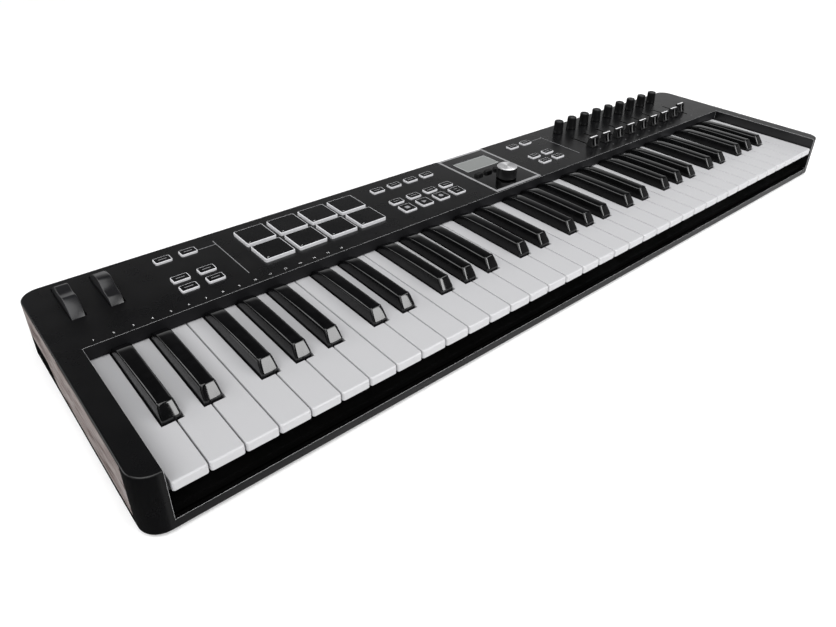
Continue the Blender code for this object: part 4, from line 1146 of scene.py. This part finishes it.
def make_jack():
    """Quarter-inch socket with its steel collar."""
    x, z = socket_block("pedal", "pedal_socket", 26, 3.3, 22.0, 32)
    rear = SOCKET_REAR
    rings = [(3.35, rear - 1.0), (3.35, rear + 0.2), (5.2, rear + 0.2), (5.4, rear), (5.4, rear - 1.0)]
    bm = gather(add_turned_back, (x, z, rings + rings[:1], 40, (False, False)))
    bmesh.ops.remove_doubles(bm, verts=bm.verts, dist=1e-7)
    fit(shade(new_piece("pedal_collar", bm, STEEL)), "case", "frame_steel")


def make_power_inlet():
    """Low-voltage socket with its centre pin."""
    x, z = socket_block("power", "power_inlet", 14, 2.9, 9.5, 28)
    rear = SOCKET_REAR
    pin = (x, z, ((1.0, rear - 9.4), (1.0, rear - 1.6), (0.6, rear - 1.2)), 18)
    fit(shade(build("power_pin", STEEL, add_turned_back, pin)), "case", "frame_steel")


# ---------------------------------------------------------------- underside
def make_feet():
    """Rubber feet, hollow inside the ring they stand on."""
    r = 8.0
    for node in ("front_left_foot", "front_right_foot", "rear_left_foot", "rear_right_foot"):
        corners = plan(node)
        x, y = middle(corners, 0), middle(corners, 1)
        stack = [(2.6, 0.9), (5.4, 0.9), (5.7, 0.25), (6.2, 0.0), (r - 0.9, 0.0), (r - 0.3, 0.2),
                 (r, 0.7), (r, corners[1].z)]
        foot = build(node + "_pad", RUBBER, add_round, (x, y, stack, 48))
        fit(shade(foot, 30), "case", "foot_rubber", node)


# ---------------------------------------------------------------- print on the panel
def text_mesh(bm, body, x, y, height):
    """One line of plain lettering, centred on x, its foot on y."""
    curve = bpy.data.curves.new("glyph", "FONT")
    curve.body = body
    curve.align_x = "CENTER"
    curve.size = height * 1.35 * MM
    curve.resolution_u = 3
    obj = add_object("glyph", curve)
    obj.location = place(x, y, PANEL_TOP + 0.05)
    bpy.context.view_layer.update()
    mesh = evaluated_mesh(obj)
    mesh.transform(obj.matrix_world)
    bm.from_mesh(mesh)
    bpy.data.objects.remove(obj)
    bpy.data.curves.remove(curve)
    bpy.data.meshes.remove(mesh)


def make_print():
    """Channel numbers, the two rules with their side arms, and the fader marks."""
    bm = bmesh.new()
    first, pitch, foot, height = 7.2, 13.85, 144.6, 2.2
    for n in range(16):
        text_mesh(bm, str(n + 1), first + pitch * n, foot, height)
    fit(new_piece("channel_numbers", bm, PRINT), "case", "case_black")
    z = (PANEL_TOP - 0.05, PANEL_TOP + 0.05)
    half, front, arm_y = 0.3, 158.0, 219.0
    rules = []
    for x, arm, rear in ((133.0, 16.0, 226.0), (563.0, 19.0, 221.5)):
        rules += [(x - half, x + half, front, rear, *z), (x - arm, x, arm_y - half, arm_y + half, *z)]
    fit(build("panel_rules", FAINT_PRINT, add_box, *rules), "case", "case_black")
    dot_y, dot_r = 151.0, 0.75
    dots = [(circle(x + 0.4, dot_y, dot_r, 16), *z) for x in CHANNEL_X]
    fit(build("fader_marks", FAINT_PRINT, add_prism, *dots), "case", "case_black")


# ---------------------------------------------------------------- carried-over CAD nodes
def dress(node, look):
    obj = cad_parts[node]
    obj.data.materials.clear()
    obj.data.materials.append(look)
    obj.data.set_sharp_from_angle(angle=math.radians(30))


def dress_cad():
    """Looks for the nodes that are shown as they come from the frame."""
    # the bottom case and the keybed frame show under the keys, where their near black is painted shade
    for node, look in (("bottom_case", BLACK_AND_PAINTED_SHADE), ("keybed_frame", BLACK_STEEL_AND_PAINTED_SHADE),
                       ("key_contact_board", CIRCUIT), ("key_contact_rubber", RUBBER),
                       ("key_stop_felt", FELT), ("panel_board", DARK_MASK), ("dial_shaft", STEEL)):
        dress(node, look)


# ---------------------------------------------------------------- stage, light and camera
def make_floor():
    """Pale floor, lit a little by itself and left out of reflections."""
    look = surface("floor", (400, 2), grey(0.955), grey(0.965), 0.9, Emission_Strength=0.10)
    reach = 30000
    floor = build("floor", look, add_box, (-reach, reach, -reach, reach, -1.0, -0.02))
    floor.visible_glossy = False


def make_world():
    """Surroundings that are brightest low down, like a room of soft lamps."""
    world = bpy.data.worlds.new("studio")
    world.use_nodes = True
    tree = world.node_tree
    coords = tree.nodes.new("ShaderNodeTexCoord")
    split = tree.nodes.new("ShaderNodeSeparateXYZ")
    tree.links.new(coords.outputs["Generated"], split.inputs["Vector"])

    def spread(axis, *limits):
        return map_range(tree, split.outputs[axis], *limits)

    def join(operation, a, b):
        node = tree.nodes.new("ShaderNodeMath")
        node.operation = operation
        tree.links.new(a, node.inputs[0])
        tree.links.new(b, node.inputs[1])
        return node.outputs["Value"]

    # how bright it is at each rise of the view, from straight down at -1 to straight up
    rises = ((-1.0, 0.0), (-0.01, 0.0), (0.0, 0.90), (0.19, 0.75), (0.29, 0.50), (0.42, 0.10),
             (0.50, 0.05), (0.62, 0.02), (1.0, 0.04))
    sky = colour_ramp(tree, spread("Z", -1.0, 1.0, 0.0, 1.0),
                      [((rise + 1) / 2, grey(tone)) for rise, tone in rises])
    above = join("MULTIPLY", sky, spread("Y", -0.3, 0.3, 0.45, 1.0))
    below = join("MULTIPLY", spread("Z", 0.0, -0.03, 0.0, 1.0), spread("X", 0.05, 0.30, 0.03, 0.62))
    background = tree.nodes["Background"].inputs
    tree.links.new(join("ADD", above, below), background["Color"])
    background["Strength"].default_value = 1.0
    bpy.context.scene.world = world
    bpy.context.scene.view_settings.view_transform = "Standard"


def aim(direction):
    """The turn that points a light or camera along a direction, upright."""
    return Vector(direction).to_track_quat("-Z", "Y")


def add_light(name, spot, target, size, radiance):
    """A rectangular soft box, given by how bright its face is."""
    data = bpy.data.lights.new(name, "AREA")
    data.shape = "RECTANGLE"
    data.size, data.size_y = size
    data.energy = radiance * math.pi * size[0] * size[1]
    light = add_object(name, data)
    light.location = spot
    light.rotation_euler = aim(Vector(target) - Vector(spot)).to_euler()


def make_lights():
    """Three soft boxes, and a broad sun for the brightness from above."""
    add_light("front", (0.345, -1.40, 0.90), (0.345, 0.0, 0.90), (0.83, 0.46), 9.2)
    add_light("high", (0.7, -1.0, 1.25), (0.1, 0.0, 0.0), (1.5, 0.5), 4.0)
    add_light("behind", (-1.25, 0.75, 0.65), (0.0, 0.0, 0.05), (0.8, 0.6), 2.5)
    data = bpy.data.lights.new("sky", "SUN")
    data.energy = 2.8
    data.angle = math.radians(70)
    add_object("sky", data).rotation_euler = aim((0.45, 0.30, -1.0)).to_euler()


def make_camera():
    """In front of the low keys, looking along the keyboard."""
    data = bpy.data.cameras.new("camera")
    camera = add_object("camera", data)
    camera.location = place(-67.8, -301.1, 318.2 + KEY_TOP)
    heading, dip, roll = math.radians(43.075), math.radians(30.07), math.radians(2.313)
    ahead = (math.sin(heading) * math.cos(dip), math.cos(heading) * math.cos(dip), -math.sin(dip))
    camera.rotation_euler = (aim(ahead).to_matrix() @ Matrix.Rotation(roll, 3, "Z")).to_euler()
    data.sensor_width = 36.0
    data.lens = 29.34
    data.shift_x, data.shift_y = -0.0415, -0.0792
    bpy.context.scene.camera = camera


make_case_top()
make_cheeks()
make_keys()
make_wheel("pitch_wheel_rim", "pitch_wheel", WHEEL_X[0], 0.0, 88.0, 88.0)
make_wheel("modulation_wheel_rim", "modulation_wheel", WHEEL_X[1], 22.0, 100.0, 80.0)
make_pads()
make_keypad("left_keypad", LEFT_BUTTONS)
make_keypad("transport_keypad", TOP_ROW + MIDDLE_ROW + SQUARE_ROW)
make_keypad("right_keypad", RIGHT_BUTTONS)
make_menu_keypad()
for channel in range(CHANNELS):
    make_knob(channel)
    make_fader(channel)
make_dial()
make_display()
make_sockets()
make_feet()
make_print()
dress_cad()
make_floor()
make_world()
make_lights()
make_camera()
